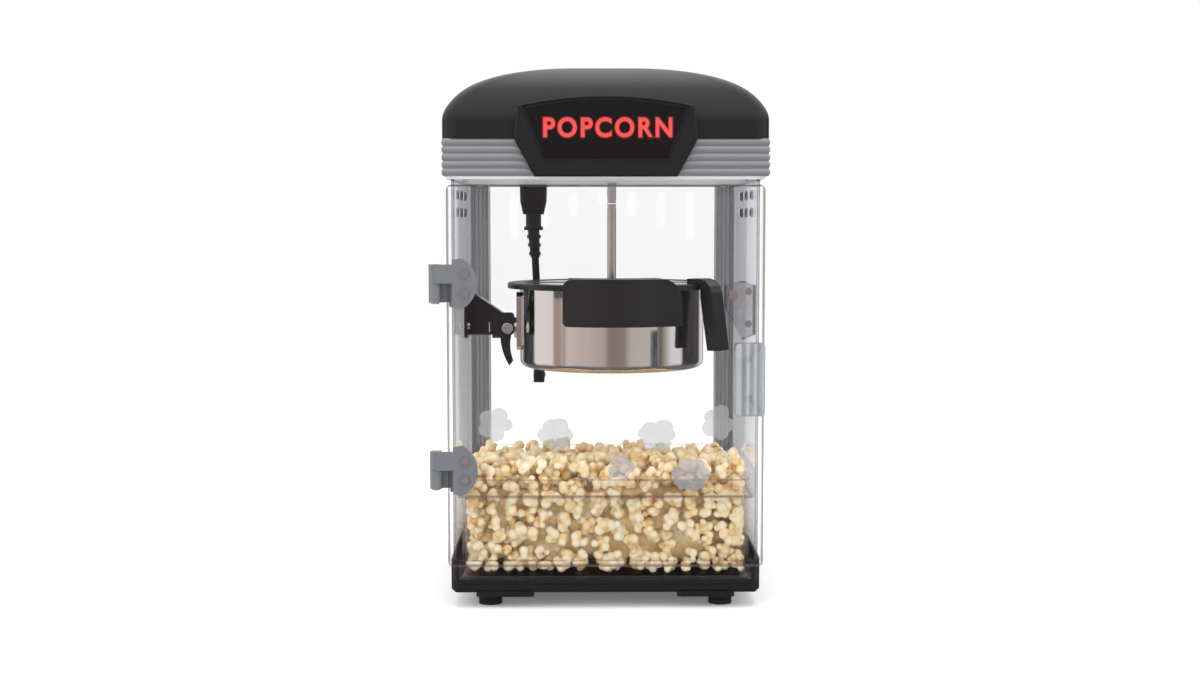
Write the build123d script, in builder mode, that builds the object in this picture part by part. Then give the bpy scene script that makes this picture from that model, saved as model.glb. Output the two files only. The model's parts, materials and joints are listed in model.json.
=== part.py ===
"""A tabletop theatre-style popcorn maker, in millimetres.

A black base carries a clear cabinet with a hinged front door. A domed canopy on top holds the stirring motor,
the lit sign and the socket that feeds the tilting kettle. +X is right, +Y is back, +Z is up. The origin is the
centre of the cabinet's footprint, on the counter.
"""

import os
from math import asin, cos, pi, radians, sin, sqrt, tan

from build123d import *

# ---- driving dimensions ------------------------------------------------------------------------------------
BASE_W = 260.0  # over the base's side walls
FRONT_Y = -120.0  # front edges of the side panels
BACK_Y = 124.0  # outside of the rear posts
FLOOR_Z = 25.0  # top of the base's floor
CEILING_Z = 360.0  # underside of the canopy's ceiling
CEILING_T = 2.4
BAND_BOTTOM = 361.2
BAND_TOP = 393.0  # where the silver band meets the black cap
TOP_Z = 459.6  # crown of the cap

PANEL_T = 2.6  # clear side and rear walls
POST = 17.0  # square rear posts
SKIN = 2.5  # walls of the canopy's mouldings

KETTLE_X = 7.0  # the kettle and the stirrer stand a little right of the middle
KETTLE_R = 83.0
KETTLE_BOTTOM = 194.5
KETTLE_FLOOR = 210.1
KETTLE_RIM = 265.7
LID_R = 94.0
LID_T = 5.0
TILT_Z = 229.8  # height of the kettle's trunnion

DOOR_W = 263.0
DOOR_BOTTOM = 37.0
DOOR_TOP = 355.5
DOOR_FRONT = -128.0
DOOR_BACK = -122.0
HINGE_X = -141.5
HINGE_Y = -124.0
HINGE_Z = (274.0, 118.6)  # middles of the two hinges
HINGE_LENGTH = 31.6

TRAY_HALF = 121.0
TRAY_FRONT = -116.0
TRAY_BACK = 103.0
TRAY_TOP = 109.0

ROD_R = 4.0  # stirring shaft and rod
ROD_JOINT_Z = 341.0
RUNNING_GAP = 0.05
CORD_D = 7.0

# ---- worked out from them ----------------------------------------------------------------------------------
panel_out = BASE_W / 2 - 2.2
panel_in = panel_out - PANEL_T
post_in = panel_out - POST
wall_h = CEILING_Z - FLOOR_Z
ceiling_top = CEILING_Z + CEILING_T
lid_bottom = KETTLE_RIM
lid_top = KETTLE_RIM + LID_T
inner_r = KETTLE_R - 1.5

os.makedirs("parts", exist_ok=True)


def save(builder, label):
    """Labels a finished piece and writes it as parts/LABEL.step."""
    builder.part.label = label
    export_step(builder.part, f"parts/{label}.step")


def save_screws(label, planes, head_r, head_t, shank_r, shank):
    """A set of cross-head screws: each head stands up from its plane and each shank goes down into it."""
    with BuildPart() as screws:
        for plane in planes:
            with BuildSketch(plane):
                Circle(head_r)
            extrude(amount=head_t)
            with BuildSketch(plane):
                Circle(shank_r)
            extrude(amount=-shank)
            with BuildSketch(plane.offset(head_t)):
                Rectangle(1.25 * head_r, 0.26 * head_r)
                Rectangle(0.26 * head_r, 1.25 * head_r)
            extrude(amount=-1.0, mode=Mode.SUBTRACT)
    save(screws, label)


# ---- base ----------------------------------------------------------------------------------------------------
BASE_UNDER = 13.4
BASE_FRONT = -121.0
SIDE_WALL_TOP = 42.4
HORN_W = 4.5
FOOT_X = 98.0
FOOT_Y = 98.0
FOOT_R = 10.0
BOSS_SIZE = (49.0, 56.0)
BOSS_X = 84.5
BOSS_UNDER = 9.6

base_depth = BACK_Y - BASE_FRONT + 0.6
base_mid_y = (BACK_Y + 0.6 + BASE_FRONT) / 2
foot_spots = GridLocations(2 * FOOT_X, 2 * FOOT_Y, 2, 2).locations

with BuildPart() as base_tub:
    with BuildSketch(Plane.XY.offset(BASE_UNDER)):
        with Locations((0, base_mid_y)):
            RectangleRounded(BASE_W, base_depth, 6)
    extrude(amount=SIDE_WALL_TOP - BASE_UNDER)
    chamfer(base_tub.faces().sort_by(Axis.Z)[0].edges(), 3)
    # the well that the panels, the posts and the tray stand in
    with BuildSketch(Plane.XY.offset(FLOOR_Z)):
        with Locations((0, base_mid_y)):
            Rectangle(2 * panel_out + 0.3, base_depth - 1.0)
    extrude(amount=SIDE_WALL_TOP, mode=Mode.SUBTRACT)
    # the low front, between the two corner horns
    with BuildSketch(Plane.XZ.offset(-BASE_FRONT + 2)):
        with Locations((0, FLOOR_Z + 40)):
            Rectangle(2 * (panel_out - HORN_W), 80)
    extrude(amount=-9, mode=Mode.SUBTRACT)
    # hollow underside, with a rim
    with BuildSketch(Plane.XY.offset(BASE_UNDER)):
        with Locations((0, base_mid_y)):
            RectangleRounded(BASE_W - 14, base_depth - 14, 4)
    extrude(amount=FLOOR_Z - BASE_UNDER - 3, mode=Mode.SUBTRACT)
    # a groove along the front
    with BuildSketch(Plane.XY.offset(20.5)):
        with Locations((0, BASE_FRONT)):
            Rectangle(BASE_W - 20, 1.2)
    extrude(amount=1.2, mode=Mode.SUBTRACT)
    # thick bosses over the feet, one to each corner
    with BuildSketch(Plane.XY.offset(BOSS_UNDER)):
        for side in (-1, 1):
            for end in (-1, 1):
                with Locations((side * BOSS_X, base_mid_y + end * (base_depth / 2 - BOSS_SIZE[1] / 2 - 2))):
                    RectangleRounded(*BOSS_SIZE, 4)
    extrude(amount=FLOOR_Z - BOSS_UNDER - 1)
    with Locations(*[spot * Location((0, 0, BOSS_UNDER + 6)) for spot in foot_spots]):
        Cylinder(1.7, 12.2, mode=Mode.SUBTRACT)
save(base_tub, "base_tub")

with BuildPart() as feet:
    with BuildSketch(Plane.XY):
        with Locations(*foot_spots):
            Circle(FOOT_R)
            Circle(1.7, mode=Mode.SUBTRACT)
    extrude(amount=BOSS_UNDER)
    with BuildSketch(Plane.XY.offset(-0.1)):
        with Locations(*foot_spots):
            Circle(4.2)
    extrude(amount=4.1, mode=Mode.SUBTRACT)
    # a waist between the pad and the boss
    with BuildSketch(Plane.XY.offset(4.2)):
        with Locations(*foot_spots):
            Circle(FOOT_R + 1)
            Circle(FOOT_R - 0.8, mode=Mode.SUBTRACT)
    extrude(amount=1.2, mode=Mode.SUBTRACT)
save(feet, "feet")

foot_screw_planes = [Plane(spot * Location((0, 0, 4.0), (180, 0, 0))) for spot in foot_spots]
save_screws("foot_screws", foot_screw_planes, 3.4, 2.2, 1.6, 16)

# ---- cabinet walls -------------------------------------------------------------------------------------------
VENT_YS = (-67.0, -22.0, 23.0)
VENT_ZS = (348.0, 333.0)
VENT_LENGTH = 15.0
VENT_H = 6.5
BODY_LEAF_SCREW_YS = (-107.0, -94.0)
post_front = BACK_Y - POST
panel_depth = post_front - 0.3 - FRONT_Y

for side, name in ((-1, "side_panel_left"), (1, "side_panel_right")):
    with BuildPart() as side_panel:
        with BuildSketch(Plane.YZ.offset(side * (panel_out - PANEL_T / 2))):
            with Locations((FRONT_Y + panel_depth / 2, FLOOR_Z + wall_h / 2)):
                Rectangle(panel_depth, wall_h)
            for z in VENT_ZS:
                with Locations(*[(y, z) for y in VENT_YS]):
                    SlotOverall(VENT_LENGTH, VENT_H, mode=Mode.SUBTRACT)
            if side < 0:
                for z in HINGE_Z:
                    with Locations(*[(y, z - HINGE_LENGTH / 4) for y in BODY_LEAF_SCREW_YS]):
                        Circle(1.7, mode=Mode.SUBTRACT)
        extrude(amount=PANEL_T / 2, both=True)
    save(side_panel, name)

# the rear wall carries a fan of hanging vent slots, shortest in the middle
REAR_SLOT_PITCH = 28.6
REAR_SLOT_W = 9.5
REAR_SLOT_LOWS = (341.0, 330.0, 319.0, 308.0)  # the bottoms, from the middle slot outwards
REAR_SLOT_TOP = 354.0

with BuildPart() as rear_panel:
    with BuildSketch(Plane.XZ.offset(-(BACK_Y - 4.0))):
        with Locations((0, FLOOR_Z + wall_h / 2)):
            Rectangle(2 * (post_in - 0.3), wall_h)
        for step in range(-3, 4):
            low = REAR_SLOT_LOWS[abs(step)]
            with Locations((step * REAR_SLOT_PITCH, (REAR_SLOT_TOP + low) / 2)):
                SlotOverall(REAR_SLOT_TOP - low, REAR_SLOT_W, rotation=90, mode=Mode.SUBTRACT)
    extrude(amount=PANEL_T)
save(rear_panel, "rear_panel")

for side, name in ((-1, "rear_post_left"), (1, "rear_post_right")):
    post_x = side * (panel_out - POST / 2)
    post_y = BACK_Y - POST / 2
    with BuildPart() as rear_post:
        with BuildSketch(Plane.XY.offset(FLOOR_Z)):
            with Locations((post_x, post_y)):
                RectangleRounded(POST, POST, 4)
                RectangleRounded(POST - 5, POST - 5, 2, mode=Mode.SUBTRACT)
            # shallow flutes down the face that looks into the cabinet
            with Locations((post_x, BACK_Y - POST)):
                with GridLocations(4.0, 1, 3, 1):
                    Circle(0.8, mode=Mode.SUBTRACT)
        extrude(amount=wall_h)
    save(rear_post, name)

# ---- serving tray --------------------------------------------------------------------------------------------
TRAY_UNDER = FLOOR_Z + 0.3
TRAY_LEDGE = 93.3
TRAY_WALL = 2.4
tray_mid_y = (TRAY_FRONT + TRAY_BACK) / 2
tray_depth = TRAY_BACK - TRAY_FRONT

with BuildPart() as tray:
    with BuildSketch(Plane.XY.offset(TRAY_UNDER)):
        with Locations((0, tray_mid_y)):
            RectangleRounded(2 * TRAY_HALF, tray_depth, 5)
    extrude(amount=TRAY_TOP - TRAY_UNDER)
    with BuildSketch(Plane.XY.offset(TRAY_LEDGE)):
        with Locations((0, tray_mid_y)):
            RectangleRounded(2 * TRAY_HALF + 7, tray_depth + 4, 6)
    extrude(amount=2)
    with BuildSketch(Plane.XY.offset(TRAY_UNDER + TRAY_WALL)):
        with Locations((0, tray_mid_y)):
            RectangleRounded(2 * (TRAY_HALF - TRAY_WALL), tray_depth - 2 * TRAY_WALL, 3)
    extrude(amount=TRAY_TOP, mode=Mode.SUBTRACT)
save(tray, "tray")

# ---- canopy shell --------------------------------------------------------------------------------------------
CAP_FRONT = -131.0
CAP_BACK = 129.0
CAP_HALF = 135.0
CORNER_R = 12.0
SHOULDER_Z = 408.0
# the arch over the upright walls: how far in from them, and how high
ARCH = (
    (0, 408.0), (1.3, 415.0), (4.8, 421.5), (16.2, 434.0), (34.1, 444.4), (62.5, 453.4),
    (80.0, 456.8), (95.0, 458.8), (107.0, 459.5), (113.0, TOP_Z),
)
cap_mid_y = (CAP_FRONT + CAP_BACK) / 2


def dome(inset):
    """The cap as a solid block, drawn in by inset from the outside: upright walls under arched shoulders."""
    half_x, half_y = CAP_HALF - inset, (CAP_BACK - CAP_FRONT) / 2 - inset
    with BuildPart() as block:
        with BuildSketch(Plane.XY.offset(BAND_TOP)):
            with Locations((0, cap_mid_y)):
                RectangleRounded(2 * half_x, 2 * half_y, CORNER_R - inset)
        extrude(amount=SHOULDER_Z - inset - BAND_TOP)
        for inward, height in ARCH:
            with BuildSketch(Plane.XY.offset(height - inset)):
                with Locations((0, cap_mid_y)):
                    RectangleRounded(2 * (half_x - inward), 2 * (half_y - inward), CORNER_R - inset)
        loft()
    return block.part


SIGN_FRONT = -136.5
SIGN_OUTLINE = ((58.5, 361.8), (73.6, 389.5), (75, 393.0), (72.5, 420.0))  # right half, from the bottom up
SIGN_ARCH = 428.0
WINDOW_OUTLINE = ((50.3, 376.6), (65.5, 417.0))
WINDOW_ARCH = 423.7
GLAND_X = 70.0
GLAND_Z = 403.0
SWITCH_XS = (-46.0, -18.0)
SWITCH_Z = 404.0
SWITCH_SIZE = (19.0, 13.0)

dome_outer = dome(0)
dome_inner = dome(SKIN)


def arched(outline, arch):
    """A closed outline: straight sides up from the bottom and an arch over the top."""
    right = [(x, z) for x, z in outline]
    left = [(-x, z) for x, z in reversed(outline)]
    with BuildLine() as edge:
        Polyline(*left, *right)
        ThreePointArc(right[-1], (0, arch), left[0])
    return edge.line


window_edge = arched(WINDOW_OUTLINE, WINDOW_ARCH)
sign_edge = arched(SIGN_OUTLINE, SIGN_ARCH)

with BuildPart() as canopy_cap:
    add(dome_outer)
    add(dome_inner, mode=Mode.SUBTRACT)
    # the lit window's opening
    with BuildSketch(Plane.XZ.offset(-CAP_FRONT + 10)):
        add(window_edge)
        make_face()
    extrude(amount=-30, mode=Mode.SUBTRACT)
    # openings for the rocker switches and the supply cord's gland
    with BuildSketch(Plane.XZ.offset(-CAP_BACK - 5)):
        with Locations(*[(x, SWITCH_Z) for x in SWITCH_XS]):
            Rectangle(SWITCH_SIZE[0] + 0.2, SWITCH_SIZE[1] + 0.2)
        with Locations((GLAND_X, GLAND_Z)):
            Circle(5.6)
    extrude(amount=20, mode=Mode.SUBTRACT)
save(canopy_cap, "canopy_cap")

RIB_ZS = [364.2 + 5.75 * step for step in range(5)]
BAND_HALF = CAP_HALF - 0.4
band_depth = CAP_BACK - CAP_FRONT - 0.8
BOLT_SPOTS = ((-116, -108), (116, -108), (-116, 96), (116, 96))

with BuildPart() as canopy_band:
    with BuildSketch(Plane.XY.offset(BAND_BOTTOM)):
        with Locations((0, cap_mid_y)):
            RectangleRounded(2 * BAND_HALF, band_depth, CORNER_R)
    extrude(amount=BAND_TOP - BAND_BOTTOM)
    fillet(canopy_band.faces().sort_by(Axis.Z)[0].edges(), 2.2)
    for z in RIB_ZS:
        with BuildSketch(Plane.XY.offset(z)):
            with Locations((0, cap_mid_y)):
                RectangleRounded(2 * BAND_HALF + 1.2, band_depth + 1.2, CORNER_R)
        extrude(amount=4.2)
    with BuildSketch(Plane.XY.offset(BAND_BOTTOM)):
        with Locations((0, cap_mid_y)):
            RectangleRounded(2 * (BAND_HALF - SKIN), band_depth - 2 * SKIN, CORNER_R - SKIN)
    extrude(amount=BAND_TOP, mode=Mode.SUBTRACT)
    # four bosses, each on a web to the nearest side wall, take the screws that hold the ceiling
    with BuildSketch(Plane.XY.offset(ceiling_top)):
        for x, y in BOLT_SPOTS:
            with Locations((x, y)):
                Circle(5)
            with Locations((x + (10 if x > 0 else -10), y)):
                Rectangle(16, 3)
    extrude(amount=BAND_TOP - ceiling_top)
    with BuildSketch(Plane.XY.offset(ceiling_top)):
        with Locations(*BOLT_SPOTS):
            Circle(1.7)
    extrude(amount=12, mode=Mode.SUBTRACT)
save(canopy_band, "canopy_band")

# ---- lit sign ------------------------------------------------------------------------------------------------
with BuildPart() as sign_bezel:
    with BuildSketch(Plane.XZ.offset(-SIGN_FRONT)):
        add(sign_edge)
        make_face()
    extrude(amount=-26)
    chamfer(sign_bezel.faces().sort_by(Axis.Y)[0].edges(), 1.2)
    with BuildSketch(Plane.XZ.offset(-SIGN_FRONT)):
        add(window_edge)
        make_face()
    extrude(amount=-26, mode=Mode.SUBTRACT)
    # it is seated on the cap and on the ribs of the band
    add(dome_outer, mode=Mode.SUBTRACT)
    with BuildSketch(Plane.XY.offset(BAND_BOTTOM - 5)):
        with Locations((0, cap_mid_y)):
            Rectangle(2 * CAP_HALF, band_depth + 1.2)
    extrude(amount=BAND_TOP - BAND_BOTTOM + 5.1, mode=Mode.SUBTRACT)
    # a slanting rim round the window
    with BuildSketch(Plane.XZ.offset(-SIGN_FRONT)):
        add(window_edge)
        make_face()
        offset(amount=2.6)
    extrude(amount=-2.2, mode=Mode.SUBTRACT)
save(sign_bezel, "sign_bezel")

LENS_FRONT = -133.6

with BuildPart() as sign_lens:
    with BuildSketch(Plane.XZ.offset(-LENS_FRONT)):
        add(window_edge)
        make_face()
        offset(amount=-0.2)
    extrude(amount=-2.2)
save(sign_lens, "sign_lens")

LED_COUNT = 7

with BuildPart() as led_board:
    with BuildSketch(Plane.XZ.offset(122)):
        with Locations((0, 405)):
            Rectangle(112, 18)
    extrude(amount=-1.6)
    with BuildSketch(Plane.XZ.offset(122)):
        with Locations((0, 405)):
            with GridLocations(15.6, 1, LED_COUNT, 1):
                Circle(2.4)
    extrude(amount=3.5)
save(led_board, "led_board")

# ---- ceiling -------------------------------------------------------------------------------------------------
SOCKET_X = -66.0
SOCKET_Y = 80.0
COLLAR_R = 14.0

with BuildPart() as ceiling_plate:
    with BuildSketch(Plane.XY.offset(CEILING_Z)):
        with Locations((0, cap_mid_y)):
            RectangleRounded(2 * (BAND_HALF - SKIN - 0.2), band_depth - 2 * SKIN - 0.4, CORNER_R - SKIN)
        with Locations(*BOLT_SPOTS):
            Circle(1.7, mode=Mode.SUBTRACT)
        with Locations((KETTLE_X, 0)):
            Circle(7, mode=Mode.SUBTRACT)
        with Locations((SOCKET_X, SOCKET_Y)):
            Circle(COLLAR_R + 0.1, mode=Mode.SUBTRACT)
        # two small groups of vents
        for x in (-8, 52):
            with Locations((x, -35)):
                with GridLocations(1, 5, 1, 3):
                    SlotOverall(16, 2.4, mode=Mode.SUBTRACT)
    extrude(amount=CEILING_T)
save(ceiling_plate, "ceiling_plate")

ceiling_screw_planes = [Plane(Location((x, y, CEILING_Z), (180, 0, 0))) for x, y in BOLT_SPOTS]
save_screws("ceiling_screws", ceiling_screw_planes, 3.2, 1.8, 1.6, 11)

# ---- stirring motor ------------------------------------------------------------------------------------------
GEARBOX_BOTTOM = 370.0
GEARBOX_T = 17.0
GEARBOX_R = 29.0
MOTOR_R = 19.0
MOTOR_H = 34.0
MOTOR_X = KETTLE_X + 9
ear_spots = [(KETTLE_X + 36 * side, 0) for side in (-1, 1)]

with BuildPart() as gearbox:
    with BuildSketch(Plane.XY.offset(GEARBOX_BOTTOM)):
        with Locations((KETTLE_X, 0)):
            Circle(GEARBOX_R)
            Rectangle(80, 12)
    extrude(amount=GEARBOX_T)
    with BuildSketch(Plane.XY.offset(ceiling_top)):
        with Locations(*ear_spots):
            Circle(5)
    extrude(amount=GEARBOX_BOTTOM - ceiling_top)
    with BuildSketch(Plane.XY.offset(ceiling_top)):
        with Locations((KETTLE_X, 0)):
            Circle(ROD_R + RUNNING_GAP)
    extrude(amount=GEARBOX_BOTTOM - ceiling_top + 12, mode=Mode.SUBTRACT)
    with BuildSketch(Plane.XY.offset(GEARBOX_BOTTOM + GEARBOX_T)):
        with Locations(*ear_spots):
            Circle(1.7)
    extrude(amount=-20, mode=Mode.SUBTRACT)
save(gearbox, "gearbox")

ear_planes = [Plane((x, y, GEARBOX_BOTTOM + GEARBOX_T)) for x, y in ear_spots]
save_screws("gearbox_screws", ear_planes, 3.2, 2, 1.6, 19)

with BuildPart() as stir_motor:
    with BuildSketch(Plane.XY.offset(GEARBOX_BOTTOM + GEARBOX_T)):
        with Locations((MOTOR_X, 0)):
            Circle(MOTOR_R)
    extrude(amount=MOTOR_H)
    fillet(stir_motor.faces().sort_by(Axis.Z)[-1].edges(), 3)
    with BuildSketch(Plane.XY.offset(GEARBOX_BOTTOM + GEARBOX_T + MOTOR_H)):
        with Locations((MOTOR_X, 0)):
            Circle(5)
    extrude(amount=3)
save(stir_motor, "stir_motor")

# the output shaft ends in a tongue that drives the slotted head of the stirring rod
TONGUE_H = 5.0

with BuildPart() as drive_shaft:
    with BuildSketch(Plane.XY.offset(ROD_JOINT_Z + 0.6)):
        with Locations((KETTLE_X, 0)):
            Circle(ROD_R)
    extrude(amount=GEARBOX_BOTTOM + 11.5 - ROD_JOINT_Z - 0.6)
    with BuildSketch(Plane.XY.offset(ROD_JOINT_Z + 2.2)):
        with Locations((KETTLE_X, 0)):
            Circle(ROD_R + 1)
            Circle(ROD_R - 0.7, mode=Mode.SUBTRACT)
    extrude(amount=1.2, mode=Mode.SUBTRACT)
save(drive_shaft, "drive_shaft")

# ---- kettle socket and the kettle cord's plug ----------------------------------------------------------------
COLLAR_DROP = 1.6
PLUG_TOP = CEILING_Z - COLLAR_DROP
PIN_LENGTH = 15.0
PIN_GAP = 12.7
BLADE = (1.6, 6.4)
pin_spots = [(SOCKET_X + side * PIN_GAP / 2, SOCKET_Y - 2) for side in (-1, 1)]
earth_spot = (SOCKET_X, SOCKET_Y + 6.5)

with BuildPart() as kettle_socket:
    with BuildSketch(Plane.XY.offset(ceiling_top)):
        with Locations((SOCKET_X, SOCKET_Y)):
            RectangleRounded(36, 32, 4)
    extrude(amount=19)
    with BuildSketch(Plane.XY.offset(PLUG_TOP)):
        with Locations((SOCKET_X, SOCKET_Y)):
            Circle(COLLAR_R)
    extrude(amount=ceiling_top - PLUG_TOP)
    with BuildSketch(Plane.XY.offset(PLUG_TOP)):
        with Locations(*pin_spots):
            Rectangle(BLADE[0] + 0.3, BLADE[1] + 0.3)
        with Locations(earth_spot):
            Circle(2.55)
    extrude(amount=PIN_LENGTH + 1, mode=Mode.SUBTRACT)
save(kettle_socket, "kettle_socket")

NECK_TOP = 329.0
RING_TOP = 320.5
RING_BOTTOM = 317.0
RELIEF_BOTTOM = 291.0
CORD_X = -64.5

with BuildPart() as kettle_plug:
    for z, size in ((PLUG_TOP, 25.6), (PLUG_TOP - 14, 25.0), (NECK_TOP + 3, 19.6)):
        with BuildSketch(Plane.XY.offset(z)):
            with Locations((SOCKET_X, SOCKET_Y)):
                RectangleRounded(size, 0.86 * size, 6)
    loft(ruled=True)
    for top, bottom, radius in ((NECK_TOP + 3, RING_TOP, 7.3), (RING_TOP, RING_BOTTOM, 9.0)):
        with BuildSketch(Plane.XY.offset(top)):
            with Locations((SOCKET_X, SOCKET_Y)):
                Circle(radius)
        extrude(amount=bottom - top)
    with BuildSketch(Plane.XY.offset(PLUG_TOP)):
        with Locations(*pin_spots):
            Rectangle(*BLADE)
        with Locations(earth_spot):
            Circle(2.4)
    extrude(amount=PIN_LENGTH)
save(kettle_plug, "kettle_plug")

RELIEF_RINGS = 3

with BuildPart() as plug_relief:
    with BuildSketch(Plane.XY.offset(RING_BOTTOM)):
        with Locations((SOCKET_X, SOCKET_Y)):
            Circle(5.6)
    with BuildSketch(Plane.XY.offset(RELIEF_BOTTOM)):
        with Locations((CORD_X, SOCKET_Y + 1)):
            Circle(4.4)
    loft()
    for step in range(RELIEF_RINGS):
        drop = 4.5 + step * 8.0
        share = (drop + 1.6) / (RING_BOTTOM - RELIEF_BOTTOM)
        with BuildSketch(Plane.XY.offset(RING_BOTTOM - drop)):
            with Locations((SOCKET_X + share * (CORD_X - SOCKET_X), SOCKET_Y)):
                Circle(6.6 - 0.5 * step)
        extrude(amount=-3.2)
save(plug_relief, "plug_relief")

# ---- kettle cord ---------------------------------------------------------------------------------------------
GLAND_MOUTH = (-60.0, 60.0, 181.1)
CORD_ROUTE = (
    (CORD_X, SOCKET_Y + 1, RELIEF_BOTTOM),
    (-64.0, 82.6, 277.0),
    (-63.3, 91.0, 263.6),
    (-62.4, 98.3, 249.5),
    (-61.5, 103.6, 231.8),
    (-60.8, 103.9, 210.5),
    (-60.3, 94.0, 191.9),
    (-60.0, 76.4, 181.1),
    GLAND_MOUTH,
)


def bend_radii(points):
    """An arc at each inner point, as large as its two runs allow."""
    radii = []
    for before, here, after in zip(points, points[1:], points[2:]):
        run_in, run_out = Vector(*here) - Vector(*before), Vector(*after) - Vector(*here)
        turn = radians(run_in.get_angle(run_out))
        radii.append(0.45 * min(run_in.length, run_out.length) / tan(turn / 2))
    return radii


cord_radii = bend_radii(CORD_ROUTE)
with BuildPart() as kettle_cord:
    with BuildLine() as cord_path:
        FilletPolyline(*CORD_ROUTE, radius=cord_radii)
    with BuildSketch(Plane(cord_path.line @ 0, z_dir=cord_path.line % 0)):
        Circle(CORD_D / 2)
    sweep()
save(kettle_cord, "kettle_cord")
cord_length = cord_path.wires()[0].length
cord_volume = pi * CORD_D**2 / 4 * cord_length
print("cord radii", [round(radius, 1) for radius in cord_radii], "length", round(cord_length, 1))
print("cord volume against section times length:", round(kettle_cord.part.volume / cord_volume, 4))

# ---- rear of the canopy: rocker switches and the gland of the supply cord ---------------------------------------
ROCKER_SIZE = (15.0, 9.6)

with BuildPart() as switch_housings:
    for outline, start, length, mode in (
        ((SWITCH_SIZE[0] + 4, SWITCH_SIZE[1] + 4), 0, -1.4, Mode.ADD),
        (SWITCH_SIZE, 0, 16, Mode.ADD),
        ((ROCKER_SIZE[0] + 1, ROCKER_SIZE[1] + 1.4), -1.4, 10, Mode.SUBTRACT),
    ):
        with BuildSketch(Plane.XZ.offset(start - CAP_BACK)):
            with Locations(*[(x, SWITCH_Z) for x in SWITCH_XS]):
                Rectangle(*outline)
        extrude(amount=length, mode=mode)
save(switch_housings, "switch_housings")

for x, name in zip(SWITCH_XS, ("heat", "light")):
    with BuildPart() as rocker:
        with BuildSketch(Plane.YZ.offset(x - ROCKER_SIZE[0] / 2)):
            with BuildLine():
                Polyline(
                    (CAP_BACK + 1.6, SWITCH_Z + 4.6),
                    (CAP_BACK - 3, SWITCH_Z + 4.4),
                    (CAP_BACK - 4, SWITCH_Z),
                    (CAP_BACK - 3, SWITCH_Z - 4.4),
                    (CAP_BACK + 1.6, SWITCH_Z - 4.6),
                    (CAP_BACK + 0.9, SWITCH_Z),
                    close=True,
                )
            make_face()
        extrude(amount=ROCKER_SIZE[0])
    save(rocker, f"rocker_{name}")

with BuildPart() as supply_gland:
    with BuildSketch(Plane.XZ.offset(-CAP_BACK)):
        with Locations((GLAND_X, GLAND_Z)):
            Circle(8)
    extrude(amount=-3)
    with BuildSketch(Plane.XZ.offset(-CAP_BACK)):
        with Locations((GLAND_X, GLAND_Z)):
            Circle(5.5)
    extrude(amount=8)
    with BuildSketch(Plane.XZ.offset(-CAP_BACK - 3)):
        with Locations((GLAND_X, GLAND_Z)):
            Circle(3.4)
    extrude(amount=20, mode=Mode.SUBTRACT)
save(supply_gland, "supply_gland")

# ---- left bracket, its trunnion bearing and the release lever --------------------------------------------------
BEARING_R = 10.0
BEARING_X = (-101.0, -88.0)
TRUNNION_R = 5.0
LEVER_X = -86.5
LEVER_Y = -15.0
WALL_PLATE_SCREWS = ((-14, 232), (-14, 254), (14, 232), (14, 254))

with BuildPart() as kettle_bracket:
    # wall plate
    with BuildSketch(Plane.YZ.offset(-panel_in + 0.1)):
        with Locations((0, 242)):
            RectangleRounded(40, 42, 4)
        with Locations(*WALL_PLATE_SCREWS):
            Circle(1.7, mode=Mode.SUBTRACT)
    extrude(amount=3)
    # tapering arm with a top flange
    with BuildSketch(Plane.XZ.offset(-2)):
        with BuildLine():
            Polyline(
                (-panel_in + 0.1, 260), (-118, 261.5), (-91, 243), (-88, 236),
                (-88, 223), (-panel_in + 0.1, 223), close=True,
            )
        make_face()
    extrude(amount=4)
    with BuildSketch(Plane.XZ.offset(-8)):
        with BuildLine():
            Polyline((-panel_in + 0.1, 260), (-118, 261.5), (-91, 243), (-92, 240.5), (-118, 258.5),
                     (-panel_in + 0.1, 257), close=True)
        make_face()
    extrude(amount=16)
    # bearing barrel
    with BuildSketch(Plane.YZ.offset(BEARING_X[0])):
        with Locations((0, TILT_Z)):
            Circle(BEARING_R)
    extrude(amount=BEARING_X[1] - BEARING_X[0])
    # ear that carries the release lever
    with BuildSketch(Plane.XZ.offset(11)):
        with Locations(((BEARING_X[0] + LEVER_X) / 2 + 2, TILT_Z + 4)):
            RectangleRounded(22, 20, 3)
    extrude(amount=3)
    with BuildSketch(Plane.XZ.offset(7)):
        with Locations(((BEARING_X[0] + BEARING_X[1]) / 2, TILT_Z)):
            Rectangle(11, 12)
    extrude(amount=4.5)
    with BuildSketch(Plane.XZ.offset(14)):
        with Locations((LEVER_X, TILT_Z)):
            Circle(2.5)
    extrude(amount=-3.2, mode=Mode.SUBTRACT)
    with BuildSketch(Plane.YZ.offset(BEARING_X[0] - 3)):
        with Locations((0, TILT_Z)):
            Circle(TRUNNION_R + RUNNING_GAP)
    extrude(amount=BEARING_X[1] - BEARING_X[0] + 4, mode=Mode.SUBTRACT)
save(kettle_bracket, "kettle_bracket")

wall_plate_planes = [Plane((3.1 - panel_in, y, z), (0, 1, 0), (1, 0, 0)) for y, z in WALL_PLATE_SCREWS]
save_screws("bracket_screws", wall_plate_planes, 3.2, 1.8, 1.6, 3)

LEVER_T = 3.4

with BuildPart() as lever_pin:
    with BuildSketch(Plane.XZ.offset(11)):
        with Locations((LEVER_X, TILT_Z)):
            Circle(2.5)
    extrude(amount=8)
    with BuildSketch(Plane.XZ.offset(18.6)):
        with Locations((LEVER_X, TILT_Z)):
            Circle(5)
    extrude(amount=1.8)
    fillet(lever_pin.faces().sort_by(Axis.Y)[0].edges(), 0.8)
save(lever_pin, "lever_pin")

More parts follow.
